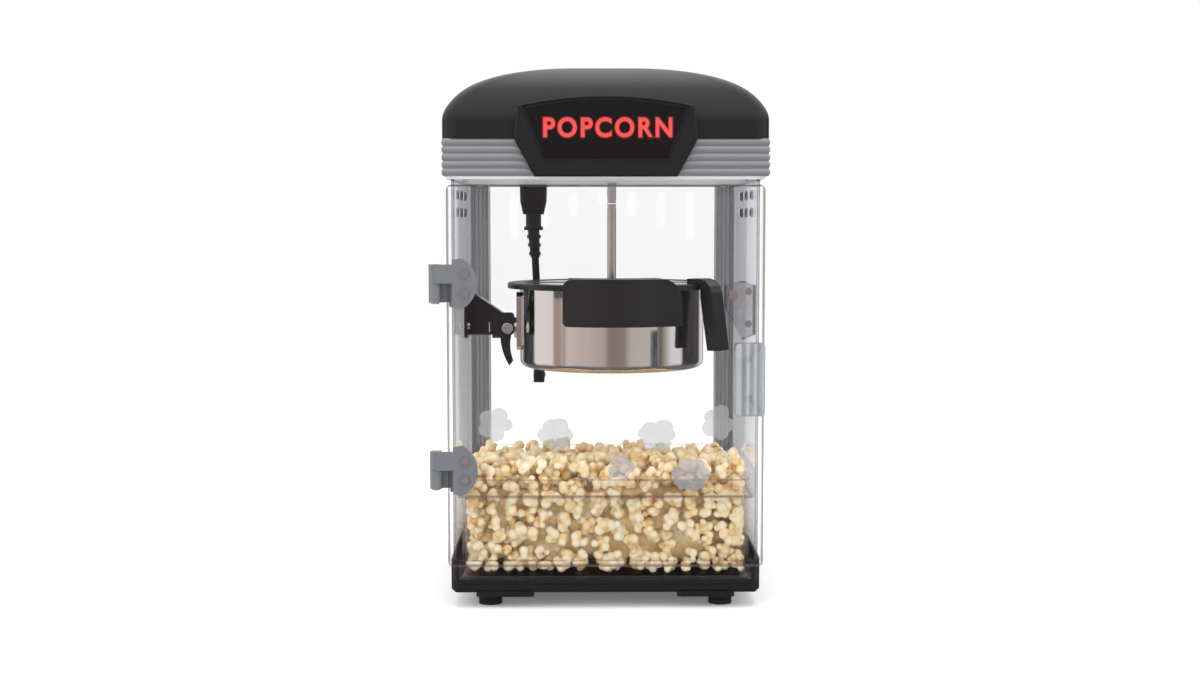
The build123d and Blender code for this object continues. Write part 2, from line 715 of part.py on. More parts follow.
with BuildPart() as release_lever:
    with BuildSketch(Plane.XZ.offset(14.6)):
        with Locations((LEVER_X, TILT_Z)):
            Circle(6.4)
        with BuildLine():
            outer = ThreePointArc((LEVER_X - 6.2, TILT_Z), (LEVER_X - 4.5, TILT_Z - 20), (LEVER_X + 1.5, TILT_Z - 33.5))
            Line(outer @ 1, (LEVER_X + 5.0, TILT_Z - 29))
            inner = ThreePointArc((LEVER_X + 5.0, TILT_Z - 29), (LEVER_X + 2.4, TILT_Z - 17), (LEVER_X + 4.5, TILT_Z - 2))
            Line(inner @ 1, outer @ 0)
        make_face()
        with Locations((LEVER_X, TILT_Z)):
            Circle(2.5 + RUNNING_GAP, mode=Mode.SUBTRACT)
    extrude(amount=LEVER_T)
save(release_lever, "release_lever")

# ---- door catch ----------------------------------------------------------------------------------------------
CATCH_X = 106.0
CATCH_Z = 264.0
MAGNET_R = 2.4
CATCH_SCREW_ZS = (240, 267)

with BuildPart() as door_catch:
    with BuildSketch(Plane.XZ.offset(117)):
        with BuildLine():
            Polyline(
                (panel_in - 0.1, 272), (115, 275.6), (100, 271.8), (100, 254), (114.7, 226.7),
                (panel_in - 0.1, 231), close=True,
            )
        make_face()
        with Locations((CATCH_X, CATCH_Z)):
            Circle(MAGNET_R, mode=Mode.SUBTRACT)
        with Locations(*[(119, z) for z in CATCH_SCREW_ZS]):
            Circle(1.7, mode=Mode.SUBTRACT)
    extrude(amount=-13)
save(door_catch, "door_catch")

with BuildPart() as catch_magnet:
    with BuildSketch(Plane.XZ.offset(120.6)):
        with Locations((CATCH_X, CATCH_Z)):
            Circle(MAGNET_R - 0.05)
    extrude(amount=-14)
    with BuildSketch(Plane.XZ.offset(119)):
        with Locations((CATCH_X, CATCH_Z)):
            Circle(MAGNET_R + 1)
            Circle(MAGNET_R - 0.1, mode=Mode.SUBTRACT)
    extrude(amount=-1.9)
save(catch_magnet, "catch_magnet")

catch_planes = [Plane(Location((119, -117, z), (90, 0, 0))) for z in CATCH_SCREW_ZS]
save_screws("catch_screws", catch_planes, 3, 1.6, 1.6, 10)

# ---- hinges --------------------------------------------------------------------------------------------------
BARREL_R = 5.0
PIN_R = 2.0
LEAF_T = 2.0
DOOR_LEAF_SCREW_X = -116.8
half_barrel = HINGE_LENGTH / 2

with BuildPart() as body_leaves:
    for z in HINGE_Z:
        with BuildSketch(Plane.XY.offset(z - half_barrel)):
            with Locations((HINGE_X, HINGE_Y)):
                Circle(BARREL_R)
            with Locations(((HINGE_X - panel_out) / 2, -120.4)):
                Rectangle(-HINGE_X - panel_out, LEAF_T)
        extrude(amount=half_barrel - 0.15)
        with BuildSketch(Plane.YZ.offset(-panel_out - 0.1)):
            with Locations((-103, z - half_barrel / 2)):
                RectangleRounded(36.8, half_barrel + 8, 4)
            with Locations(*[(y, z - half_barrel / 2) for y in BODY_LEAF_SCREW_YS]):
                Circle(1.7, mode=Mode.SUBTRACT)
        extrude(amount=-LEAF_T)
        with BuildSketch(Plane.XY.offset(z - half_barrel)):
            with Locations((HINGE_X, HINGE_Y)):
                Circle(PIN_R + RUNNING_GAP)
        extrude(amount=half_barrel, mode=Mode.SUBTRACT)
save(body_leaves, "body_leaves")

leaf_face_x = -panel_out - 0.1 - LEAF_T
leaf_spots = [(leaf_face_x, y, z - half_barrel / 2) for z in HINGE_Z for y in BODY_LEAF_SCREW_YS]
body_leaf_planes = [Plane(spot, (0, 1, 0), (-1, 0, 0)) for spot in leaf_spots]
save_screws("body_leaf_screws", body_leaf_planes, 3.4, 1.6, 1.6, LEAF_T + PANEL_T)

with BuildPart() as hinge_pins:
    for z in HINGE_Z:
        with BuildSketch(Plane.XY.offset(z - half_barrel - 0.6)):
            with Locations((HINGE_X, HINGE_Y)):
                Circle(PIN_R)
        extrude(amount=HINGE_LENGTH + 0.8)
        with BuildSketch(Plane.XY.offset(z - half_barrel - 1.2)):
            with Locations((HINGE_X, HINGE_Y)):
                Circle(PIN_R + 1.4)
        extrude(amount=1.1)
save(hinge_pins, "hinge_pins")

with BuildPart() as door_leaves:
    for z in HINGE_Z:
        with BuildSketch(Plane.XY.offset(z + 0.15)):
            with Locations((HINGE_X, HINGE_Y)):
                Circle(BARREL_R)
            with Locations(((HINGE_X - 127) / 2, DOOR_FRONT - LEAF_T / 2)):
                Rectangle(-HINGE_X - 127, LEAF_T)
        extrude(amount=half_barrel - 0.15)
        # the leaf is straight towards the barrel and round towards the door
        with BuildSketch(Plane.XZ.offset(-DOOR_FRONT)):
            with BuildLine():
                Polyline((-119, z - 21), (-127, z - 19.5), (-127, z + 19.5), (-119, z + 21))
                ThreePointArc((-119, z + 21), (-106.3, z), (-119, z - 21))
            make_face()
            with Locations((DOOR_LEAF_SCREW_X, z + 8), (DOOR_LEAF_SCREW_X, z - 8)):
                Circle(1.7, mode=Mode.SUBTRACT)
        extrude(amount=LEAF_T)
        with BuildSketch(Plane.XY.offset(z)):
            with Locations((HINGE_X, HINGE_Y)):
                Circle(PIN_R + RUNNING_GAP)
        extrude(amount=half_barrel + 1, mode=Mode.SUBTRACT)
save(door_leaves, "door_leaves")

door_leaf_spots = [(DOOR_LEAF_SCREW_X, DOOR_FRONT - LEAF_T, z + rise) for z in HINGE_Z for rise in (-8, 8)]
door_leaf_planes = [Plane(Location(spot, (90, 0, 0))) for spot in door_leaf_spots]
save_screws("door_leaf_screws", door_leaf_planes, 3.6, 1.6, 1.6, 4.6)

# ---- door ----------------------------------------------------------------------------------------------------
RIM_W = 4.7
door_mid_z = (DOOR_BOTTOM + DOOR_TOP) / 2
door_h = DOOR_TOP - DOOR_BOTTOM
HANDLE_X = (106.5, 131.3)
HANDLE_Z = (164.6, 225.2)
handle_mid = (sum(HANDLE_X) / 2, sum(HANDLE_Z) / 2)

with BuildPart() as door_panel:
    with BuildSketch(Plane.XZ.offset(-DOOR_FRONT)):
        with Locations((0, door_mid_z)):
            RectangleRounded(DOOR_W, door_h, 5)
    extrude(amount=DOOR_FRONT - DOOR_BACK)
    with BuildSketch(Plane.XZ.offset(-DOOR_BACK)):
        with Locations((0, door_mid_z)):
            RectangleRounded(DOOR_W - 2 * RIM_W, door_h - 2 * RIM_W, 3)
    extrude(amount=3.2, mode=Mode.SUBTRACT)
    with BuildSketch(Plane.XZ.offset(-DOOR_FRONT)):
        for z in HINGE_Z:
            with Locations((DOOR_LEAF_SCREW_X, z + 8), (DOOR_LEAF_SCREW_X, z - 8)):
                Circle(1.7)
        with Locations((handle_mid[0], HANDLE_Z[0] + 14), (handle_mid[0], HANDLE_Z[1] - 14)):
            Circle(1.7)
    extrude(amount=-10, mode=Mode.SUBTRACT)
save(door_panel, "door_panel")

FLUTE_PITCH = 6.4

with BuildPart() as door_handle:
    with BuildSketch(Plane.XZ.offset(-DOOR_FRONT)):
        with Locations(handle_mid):
            RectangleRounded(HANDLE_X[1] - HANDLE_X[0], HANDLE_Z[1] - HANDLE_Z[0], 3)
    extrude(amount=11)
    fillet(door_handle.faces().sort_by(Axis.Y)[0].edges(), 2)
    with BuildSketch(Plane.XY.offset(HANDLE_Z[0] - 1)):
        with Locations((handle_mid[0] + 1, DOOR_FRONT - 11.6)):
            with GridLocations(FLUTE_PITCH, 1, 3, 1):
                Circle(2.2)
    extrude(amount=HANDLE_Z[1] - HANDLE_Z[0] + 2, mode=Mode.SUBTRACT)
    with BuildSketch(Plane.XZ.offset(-DOOR_FRONT)):
        with Locations((handle_mid[0], HANDLE_Z[0] + 14), (handle_mid[0], HANDLE_Z[1] - 14)):
            Circle(1.7)
    extrude(amount=7, mode=Mode.SUBTRACT)
save(door_handle, "door_handle")

door_skin_back = DOOR_BACK - 3.2
handle_planes = [
    Plane(Location((handle_mid[0], door_skin_back, z), (-90, 0, 0))) for z in (HANDLE_Z[0] + 14, HANDLE_Z[1] - 14)
]
save_screws("door_handle_screws", handle_planes, 3.2, 1.6, 1.6, 8)

with BuildPart() as strike_plate:
    with BuildSketch(Plane.XZ.offset(-door_skin_back)):
        with Locations((CATCH_X, CATCH_Z)):
            Circle(4)
    extrude(amount=-3.6)
save(strike_plate, "strike_plate")

# ---- kettle --------------------------------------------------------------------------------------------------
PAN_WALL = 1.5
MOUNT_X = -78.5  # left face of the mount pad
BAR_HALF = 11.0  # half the width of the bar across the lid
OPENING_R = 80.0

with BuildPart() as kettle_pan:
    with BuildSketch(Plane.XY.offset(KETTLE_BOTTOM)):
        with Locations((KETTLE_X, 0)):
            Circle(KETTLE_R)
    extrude(amount=KETTLE_RIM - KETTLE_BOTTOM)
    fillet(kettle_pan.faces().sort_by(Axis.Z)[0].edges(), 7)
    with BuildSketch(Plane.XY.offset(KETTLE_FLOOR)):
        with Locations((KETTLE_X, 0)):
            Circle(inner_r)
    extrude(amount=KETTLE_RIM, mode=Mode.SUBTRACT)
    # the recess under the floor, for the heater
    with BuildSketch(Plane.XY.offset(KETTLE_BOTTOM)):
        with Locations((KETTLE_X, 0)):
            Circle(KETTLE_R - 9)
    extrude(amount=KETTLE_FLOOR - PAN_WALL - KETTLE_BOTTOM, mode=Mode.SUBTRACT)
save(kettle_pan, "kettle_pan")

with BuildPart() as kettle_base_plate:
    with BuildSketch(Plane.XY.offset(KETTLE_BOTTOM)):
        with Locations((KETTLE_X, 0)):
            Circle(KETTLE_R - 9.1)
    extrude(amount=1.5)
save(kettle_base_plate, "kettle_base_plate")

with BuildPart() as heater_ring:
    with BuildSketch(Plane.XZ):
        with Locations((KETTLE_X + 50, KETTLE_FLOOR - 7.5)):
            Circle(4)
    revolve(axis=Axis((KETTLE_X, 0, 0), (0, 0, 1)), revolution_arc=320)
save(heater_ring, "heater_ring")

with BuildPart() as thermostat:
    with BuildSketch(Plane.XY.offset(KETTLE_FLOOR - 10)):
        with Locations((KETTLE_X, 0)):
            Circle(9)
    extrude(amount=8)
    with BuildSketch(Plane.XY.offset(KETTLE_FLOOR - 13)):
        with Locations((KETTLE_X - 5, 0), (KETTLE_X + 5, 0)):
            Rectangle(1, 5)
    extrude(amount=3)
save(thermostat, "thermostat")

with BuildPart() as mount_pad:
    with BuildSketch(Plane.YZ.offset(MOUNT_X)):
        with Locations((0, 236)):
            RectangleRounded(34, 52, 5)
    extrude(amount=20)
    with BuildSketch(Plane.XY.offset(KETTLE_BOTTOM)):
        with Locations((KETTLE_X, 0)):
            Circle(KETTLE_R)
    extrude(amount=100, mode=Mode.SUBTRACT)
save(mount_pad, "mount_pad")

with BuildPart() as trunnion:
    with BuildSketch(Plane.YZ.offset(MOUNT_X)):
        with Locations((0, TILT_Z)):
            Circle(9.5)
    extrude(amount=-2.6)
    with BuildSketch(Plane.YZ.offset(MOUNT_X)):
        with Locations((0, TILT_Z)):
            Circle(TRUNNION_R)
    extrude(amount=BEARING_X[0] - 1.5 - MOUNT_X)
    fillet(trunnion.faces().sort_by(Axis.X)[0].edges(), 0.8)
save(trunnion, "trunnion")

with BuildPart() as lid_ring:
    with BuildSketch(Plane.XY.offset(lid_bottom)):
        with Locations((KETTLE_X, 0)):
            Circle(LID_R)
            Circle(OPENING_R, mode=Mode.SUBTRACT)
            Rectangle(2 * OPENING_R + 4, 2 * BAR_HALF)
            Circle(ROD_R + RUNNING_GAP + 0.02, mode=Mode.SUBTRACT)
    extrude(amount=LID_T)
    fillet(lid_ring.faces().sort_by(Axis.Z)[-1].outer_wire().edges(), 1.8)
    # a slot beside the bar for each lid flap's hinge rod
    for side in (-1, 1):
        with BuildSketch(Plane.YZ.offset(KETTLE_X)):
            with Locations((side * (BAR_HALF + 2.2), lid_bottom + 2.9)):
                Circle(1.03)
        extrude(amount=OPENING_R + 3, both=True, mode=Mode.SUBTRACT)
save(lid_ring, "lid_ring")

FLAP_T = 2.6
FLAP_TOP = lid_top - 0.4
HINGE_OFF = BAR_HALF + 2.2  # the lid flaps turn about these two lines, at y = -HINGE_OFF and +HINGE_OFF
FLAP_HINGE_Z = lid_bottom + 2.9
APRON_R = (95.3, 99.3)
APRON_Z = (235.5, lid_top + 0.4)
APRON_CROWN = 5.2  # how far the grip stands above the lid's web
APRON_ANGLES = (-26.0, 37.0)  # from the front, towards the right
apron_mid = sum(APRON_ANGLES) / 2
apron_span = APRON_ANGLES[1] - APRON_ANGLES[0]

for side, name in ((-1, "front"), (1, "rear")):
    with BuildPart() as lid_flap:
        with BuildSketch(Plane.XY.offset(FLAP_TOP - FLAP_T)):
            with Locations((KETTLE_X, 0)):
                Circle(OPENING_R - 0.6)
                with Locations((0, -side * (OPENING_R - HINGE_OFF - 1.2))):
                    Rectangle(2 * OPENING_R, 2 * OPENING_R, mode=Mode.SUBTRACT)
        extrude(amount=FLAP_T)
        # hinge barrels, on a rod that the ring carries
        with BuildSketch(Plane.YZ.offset(KETTLE_X)):
            with Locations((side * HINGE_OFF, FLAP_HINGE_Z)):
                Circle(1.9)
        extrude(amount=OPENING_R - 8, both=True)
        with BuildSketch(Plane.YZ.offset(KETTLE_X)):
            with Locations((side * HINGE_OFF, FLAP_HINGE_Z)):
                Circle(1.05)
        extrude(amount=OPENING_R, both=True, mode=Mode.SUBTRACT)
        if side > 0:
            # a low finger ridge near the edge
            with BuildSketch(Plane.XY.offset(FLAP_TOP)):
                with Locations((KETTLE_X, OPENING_R - 12)):
                    RectangleRounded(30, 6, 2.5)
            extrude(amount=0.8)
    save(lid_flap, f"{name}_lid_flap")

with BuildPart() as lid_hinge_rods:
    for side in (-1, 1):
        with BuildSketch(Plane.YZ.offset(KETTLE_X)):
            with Locations((side * HINGE_OFF, FLAP_HINGE_Z)):
                Circle(1.0)
        extrude(amount=OPENING_R + 2.8, both=True)
save(lid_hinge_rods, "lid_hinge_rods")

apron_half = APRON_R[1] * sin(radians(apron_span / 2))
apron_turn = Location((0, 0, 0), apron_mid - 90)
apron_top = APRON_Z[1] + APRON_CROWN
apron_plane = Plane(
    origin=(KETTLE_X, 0, 0),
    x_dir=(cos(radians(apron_mid)), sin(radians(apron_mid)), 0),
    z_dir=(sin(radians(apron_mid)), -cos(radians(apron_mid)), 0),
)

with BuildPart() as front_lid_grip:
    # the apron, round the front of the kettle
    with BuildSketch(Plane.XY.offset(APRON_Z[0])):
        with Locations((KETTLE_X, 0)):
            Circle(APRON_R[1])
            Circle(APRON_R[0], mode=Mode.SUBTRACT)
            with Locations(apron_turn):
                Rectangle(APRON_R[1] + 5, 2 * apron_half, align=(Align.MIN, Align.CENTER), mode=Mode.INTERSECT)
    extrude(amount=apron_top - APRON_Z[0])
    # the web over the lid's ring to the flap
    with BuildSketch(Plane.XY.offset(APRON_Z[1])):
        with Locations((KETTLE_X, 0)):
            Circle(APRON_R[0] + 0.5)
            Circle(OPENING_R - 16, mode=Mode.SUBTRACT)
            with Locations(apron_turn):
                Rectangle(APRON_R[1] + 5, 86, align=(Align.MIN, Align.CENTER), mode=Mode.INTERSECT)
    extrude(amount=APRON_CROWN)
    with BuildSketch(Plane.XY.offset(FLAP_TOP)):
        with Locations((KETTLE_X, 0)):
            Circle(OPENING_R - 3)
            Circle(OPENING_R - 16, mode=Mode.SUBTRACT)
            with Locations(apron_turn):
                Rectangle(APRON_R[1] + 5, 60, align=(Align.MIN, Align.CENTER), mode=Mode.INTERSECT)
    extrude(amount=APRON_Z[1] - FLAP_TOP)
    # the outline seen from the front: round corners, the upper right one much the largest
    with BuildSketch(apron_plane) as outline:
        with Locations((0, (APRON_Z[0] + apron_top) / 2)):
            Rectangle(2 * apron_half - 0.8, apron_top - APRON_Z[0] - 0.2)
        left, right = outline.vertices().sort_by(Axis.X)[:2], outline.vertices().sort_by(Axis.X)[2:]
        fillet(left.sort_by(Axis.Y)[:1], 4)
        fillet(outline.vertices().group_by(Axis.Y)[-1].sort_by(Axis.X)[:1], 8)
        fillet(outline.vertices().group_by(Axis.Y)[-1].sort_by(Axis.X)[-1:], 19)
    extrude(amount=APRON_R[1] + 5, mode=Mode.INTERSECT)
save(front_lid_grip, "front_lid_grip")

# the kettle's handle points forward and to the right
HANDLE_TURN = -31.0
HANDLE_ROOT = (70.0, 93.6)
GRIP_TOP_R = (95.0, 106.0)
GRIP_BOTTOM_R = (102.0, 113.0)
GRIP_BOTTOM = 213.0
GRIP_W = 21.0
grip_out = (cos(radians(HANDLE_TURN)), sin(radians(HANDLE_TURN)), 0)
grip_plane = Plane(origin=(KETTLE_X, 0, 0), x_dir=grip_out, z_dir=(grip_out[1], -grip_out[0], 0))

with BuildPart() as kettle_handle:
    with BuildSketch(grip_plane):
        with BuildLine():
            Polyline(
                (HANDLE_ROOT[0] + 12, lid_top + 0.1), (GRIP_TOP_R[0], lid_top + 0.1), (GRIP_TOP_R[0], lid_bottom - 6),
                (GRIP_BOTTOM_R[0], GRIP_BOTTOM), (GRIP_BOTTOM_R[1], GRIP_BOTTOM), (GRIP_TOP_R[1], lid_top - 7),
                (GRIP_TOP_R[1] - 2, lid_top - 1.5), (GRIP_TOP_R[1] - 6.5, lid_top + 3), (GRIP_TOP_R[1] - 12, lid_top + 4.6),
                (HANDLE_ROOT[0] + 12, lid_top + 4.6), close=True,
            )
        make_face()
    extrude(amount=GRIP_W / 2, both=True)
save(kettle_handle, "kettle_handle")

gland_centre = (GLAND_MOUTH[0] + 1.0, 50.0)
with BuildPart() as kettle_gland:
    with BuildSketch(Plane.XZ.offset(-GLAND_MOUTH[1])):
        with Locations((GLAND_MOUTH[0], GLAND_MOUTH[2])):
            Circle(4.6)
    extrude(amount=14)
    for step in range(3):
        with BuildSketch(Plane.XZ.offset(3 - GLAND_MOUTH[1] + 3.6 * step)):
            with Locations((GLAND_MOUTH[0], GLAND_MOUTH[2])):
                Circle(5.6)
        extrude(amount=2)
    with BuildSketch(Plane.XY.offset(GLAND_MOUTH[2] - 5)):
        with Locations((GLAND_MOUTH[0], 42)):
            RectangleRounded(10, 18, 3)
    extrude(amount=KETTLE_BOTTOM - GLAND_MOUTH[2] + 5)
save(kettle_gland, "kettle_gland")

# ---- stirrer -------------------------------------------------------------------------------------------------
with BuildPart() as stir_rod:
    with BuildSketch(Plane.XY.offset(KETTLE_FLOOR + 1.2)):
        with Locations((KETTLE_X, 0)):
            Circle(ROD_R)
    extrude(amount=ROD_JOINT_Z - KETTLE_FLOOR - 1.2)
    with BuildSketch(Plane.XY.offset(ROD_JOINT_Z - 3.4)):
        with Locations((KETTLE_X, 0)):
            Circle(ROD_R + 1)
            Circle(ROD_R - 0.7, mode=Mode.SUBTRACT)
    extrude(amount=1.2, mode=Mode.SUBTRACT)
save(stir_rod, "stir_rod")

BLADE_REACH = 72.0
with BuildPart() as stir_blade:
    with BuildSketch(Plane.XY.offset(KETTLE_FLOOR + 1.2)):
        with Locations((KETTLE_X, 0)):
            Circle(8)
            SlotOverall(2 * BLADE_REACH, 3.2, rotation=20)
            Circle(ROD_R, mode=Mode.SUBTRACT)
    extrude(amount=8)
save(stir_blade, "stir_blade")
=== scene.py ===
"""The tabletop popcorn maker: finishes, popped corn, sign, cord and studio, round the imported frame."""

import json
import math
import random

import bmesh
import bpy
from mathutils import Matrix, Vector, noise

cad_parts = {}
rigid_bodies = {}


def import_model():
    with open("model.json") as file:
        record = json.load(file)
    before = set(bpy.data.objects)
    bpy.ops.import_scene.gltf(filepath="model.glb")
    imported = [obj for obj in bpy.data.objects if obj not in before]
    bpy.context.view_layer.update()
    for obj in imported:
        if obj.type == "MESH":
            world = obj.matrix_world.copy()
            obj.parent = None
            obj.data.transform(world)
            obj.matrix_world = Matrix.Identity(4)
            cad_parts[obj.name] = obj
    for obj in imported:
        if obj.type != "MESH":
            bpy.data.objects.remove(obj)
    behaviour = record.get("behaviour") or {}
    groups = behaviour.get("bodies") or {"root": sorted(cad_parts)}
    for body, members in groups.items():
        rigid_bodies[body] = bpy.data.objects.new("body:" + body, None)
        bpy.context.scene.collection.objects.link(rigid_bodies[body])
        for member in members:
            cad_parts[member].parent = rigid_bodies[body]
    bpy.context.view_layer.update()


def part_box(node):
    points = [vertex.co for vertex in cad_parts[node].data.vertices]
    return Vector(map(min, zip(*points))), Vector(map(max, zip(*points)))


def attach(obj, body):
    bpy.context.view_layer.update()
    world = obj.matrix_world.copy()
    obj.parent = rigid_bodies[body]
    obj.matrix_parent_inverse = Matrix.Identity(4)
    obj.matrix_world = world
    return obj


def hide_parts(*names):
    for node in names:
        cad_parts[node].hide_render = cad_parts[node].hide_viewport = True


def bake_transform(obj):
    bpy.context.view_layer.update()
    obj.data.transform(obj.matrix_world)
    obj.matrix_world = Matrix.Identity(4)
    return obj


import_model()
bpy.ops.object.select_all(action="DESELECT")


# ---- helpers -------------------------------------------------------------------------------------
def corners(node):
    """A node's lowest and highest corners, as vectors."""
    low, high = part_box(node)
    return Vector(low), Vector(high)


def middle(node):
    """The middle of a node's box."""
    low, high = corners(node)
    return (low + high) / 2


def deselect():
    bpy.ops.object.select_all(action="DESELECT")


def finish_piece(piece, material, modifiers=(), angle=35):
    """Applies modifiers given as (kind, settings), smooths, and gives the piece its material and slot."""
    deselect()
    piece.select_set(True)
    bpy.context.view_layer.objects.active = piece
    for kind, settings in modifiers:
        modifier = piece.modifiers.new(kind.lower(), kind)
        for key, value in settings.items():
            setattr(modifier, key, value)
        bpy.ops.object.modifier_apply(modifier=modifier.name)
    bpy.ops.object.shade_smooth_by_angle(angle=math.radians(angle))
    piece.data.materials.clear()
    piece.data.materials.append(material)
    deselect()
    return piece


def select_faces(piece, chosen):
    """In edit mode, selects just the faces that chosen(face) picks, and returns how many there are."""
    mesh = bmesh.from_edit_mesh(piece.data)
    count = 0
    for face in mesh.faces:
        face.select = bool(chosen(face))
        count += face.select
    mesh.select_flush_mode()
    bmesh.update_edit_mesh(piece.data)
    return count


# ---- shader groups -------------------------------------------------------------------------------
def new_group(name, inputs, outputs):
    """A shader group with named sockets: (name, kind, default) in, (name, kind) out."""
    group = bpy.data.node_groups.new(name, "ShaderNodeTree")
    for label, kind, value in inputs:
        socket = group.interface.new_socket(label, in_out="INPUT", socket_type="NodeSocket" + kind)
        socket.default_value = value
    for label, kind in outputs:
        group.interface.new_socket(label, in_out="OUTPUT", socket_type="NodeSocket" + kind)
    return group, group.nodes.new("NodeGroupInput"), group.nodes.new("NodeGroupOutput")


def moulded_group():
    """Fine moulded texture with slow patches of polish and dust: a roughness and a height."""
    group, given, out = new_group(
        "moulded surface",
        [("Grain", "Float", 900.0), ("Roughness", "Float", 0.3), ("Spread", "Float", 0.1)],
        [("Roughness", "Float"), ("Height", "Float")],
    )
    link = group.links.new
    place = group.nodes.new("ShaderNodeTexCoord")
    fine = group.nodes.new("ShaderNodeTexNoise")
    fine.inputs["Detail"].default_value = 3
    slow = group.nodes.new("ShaderNodeTexNoise")
    slow.inputs["Scale"].default_value = 18
    slow.inputs["Detail"].default_value = 4
    link(place.outputs["Object"], fine.inputs["Vector"])
    link(place.outputs["Object"], slow.inputs["Vector"])
    link(given.outputs["Grain"], fine.inputs["Scale"])
    centred = group.nodes.new("ShaderNodeMath")
    centred.operation = "SUBTRACT"
    centred.inputs[1].default_value = 0.5
    link(slow.outputs["Fac"], centred.inputs[0])
    spread = group.nodes.new("ShaderNodeMath")
    spread.operation = "MULTIPLY_ADD"
    link(centred.outputs[0], spread.inputs[0])
    link(given.outputs["Spread"], spread.inputs[1])
    link(given.outputs["Roughness"], spread.inputs[2])
    link(spread.outputs[0], out.inputs["Roughness"])
    link(fine.outputs["Fac"], out.inputs["Height"])
    return group


def brushed_group():
    """Fine lines of brushing or drawing, run along one direction by a stretched noise."""
    group, given, out = new_group(
        "brushed lines",
        [("Stretch", "Vector", (40.0, 40.0, 900.0)), ("Roughness", "Float", 0.25), ("Spread", "Float", 0.15)],
        [("Roughness", "Float"), ("Height", "Float"), ("Tone", "Float")],
    )
    link = group.links.new
    place = group.nodes.new("ShaderNodeTexCoord")
    stretch = group.nodes.new("ShaderNodeVectorMath")
    stretch.operation = "MULTIPLY"
    lines = group.nodes.new("ShaderNodeTexNoise")
    lines.inputs["Scale"].default_value = 1
    lines.inputs["Detail"].default_value = 3
    link(place.outputs["Object"], stretch.inputs[0])
    link(given.outputs["Stretch"], stretch.inputs[1])
    link(stretch.outputs[0], lines.inputs["Vector"])
    centred = group.nodes.new("ShaderNodeMath")
    centred.operation = "SUBTRACT"
    centred.inputs[1].default_value = 0.5
    link(lines.outputs["Fac"], centred.inputs[0])
    spread = group.nodes.new("ShaderNodeMath")
    spread.operation = "MULTIPLY_ADD"
    link(centred.outputs[0], spread.inputs[0])
    link(given.outputs["Spread"], spread.inputs[1])
    link(given.outputs["Roughness"], spread.inputs[2])
    link(spread.outputs[0], out.inputs["Roughness"])
    link(lines.outputs["Fac"], out.inputs["Height"])
    link(lines.outputs["Fac"], out.inputs["Tone"])
    return group


def edges_group():
    """A line along the edges of a box: where two of the three distances to its sides are small."""
    group, given, out = new_group(
        "box edges",
        [
            ("Low", "Vector", (0, 0, 0)),
            ("High", "Vector", (1, 1, 1)),
            ("Width", "Float", 0.001),
            ("Line Height", "Float", -1.0),
        ],
        [("Edge", "Float")],
    )
    link = group.links.new
    place = group.nodes.new("ShaderNodeTexCoord")

    def vector(operation, first, second):
        node = group.nodes.new("ShaderNodeVectorMath")
        node.operation = operation
        link(first, node.inputs[0])
        link(second, node.inputs[1])
        return node.outputs[0]

    def number(operation, first, second):
        node = group.nodes.new("ShaderNodeMath")
        node.operation = operation
        link(first, node.inputs[0])
        link(second, node.inputs[1])
        return node.outputs[0]

    above = vector("SUBTRACT", place.outputs["Object"], given.outputs["Low"])
    below = vector("SUBTRACT", given.outputs["High"], place.outputs["Object"])
    split = group.nodes.new("ShaderNodeSeparateXYZ")
    link(vector("MINIMUM", above, below), split.inputs[0])
    lesser = number("MINIMUM", split.outputs["X"], split.outputs["Y"])
    greater = number("MAXIMUM", split.outputs["X"], split.outputs["Y"])
    second = number("MAXIMUM", lesser, number("MINIMUM", greater, split.outputs["Z"]))
    ratio = number("DIVIDE", second, given.outputs["Width"])
    fade = group.nodes.new("ShaderNodeMapRange")
    fade.inputs["From Min"].default_value = 0.8
    fade.inputs["From Max"].default_value = 1.2
    fade.inputs["To Min"].default_value = 1
    fade.inputs["To Max"].default_value = 0
    link(ratio, fade.inputs["Value"])
    position = group.nodes.new("ShaderNodeSeparateXYZ")
    link(place.outputs["Object"], position.inputs[0])
    line = group.nodes.new("ShaderNodeMath")
    line.operation = "COMPARE"
    line.inputs[2].default_value = 0.0009
    link(position.outputs["Z"], line.inputs[0])
    link(given.outputs["Line Height"], line.inputs[1])
    link(number("MAXIMUM", fade.outputs["Result"], line.outputs[0]), out.inputs["Edge"])
    return group


MOULDED = moulded_group()
BRUSHED = brushed_group()
EDGES = edges_group()


# ---- materials -----------------------------------------------------------------------------------
def blank_material(name):
    material = bpy.data.materials.new(name)
    material.use_nodes = True
    return material, material.node_tree, material.node_tree.nodes["Principled BSDF"]


def set_sockets(shader, **values):
    """Sets the shader's own sockets; an underscore in a keyword stands for a space."""
    for key, value in values.items():
        shader.inputs[key.replace("_", " ")].default_value = value


def bump(tree, height, shader, strength, distance):
    node = tree.nodes.new("ShaderNodeBump")
    node.inputs["Strength"].default_value = strength
    node.inputs["Distance"].default_value = distance
    tree.links.new(height, node.inputs["Height"])
    tree.links.new(node.outputs["Normal"], shader.inputs["Normal"])


def moulded(name, colour, roughness=0.3, spread=0.1, grain=900.0, relief=0.05, **more):
    """A moulded plastic or rubber, with its fine grain."""
    material, tree, shader = blank_material(name)
    set_sockets(shader, Base_Color=(*colour, 1), **more)
    group = tree.nodes.new("ShaderNodeGroup")
    group.node_tree = MOULDED
    group.inputs["Grain"].default_value = grain
    group.inputs["Roughness"].default_value = roughness
    group.inputs["Spread"].default_value = spread
    tree.links.new(group.outputs["Roughness"], shader.inputs["Roughness"])
    bump(tree, group.outputs["Height"], shader, relief, 0.0004)
    return material


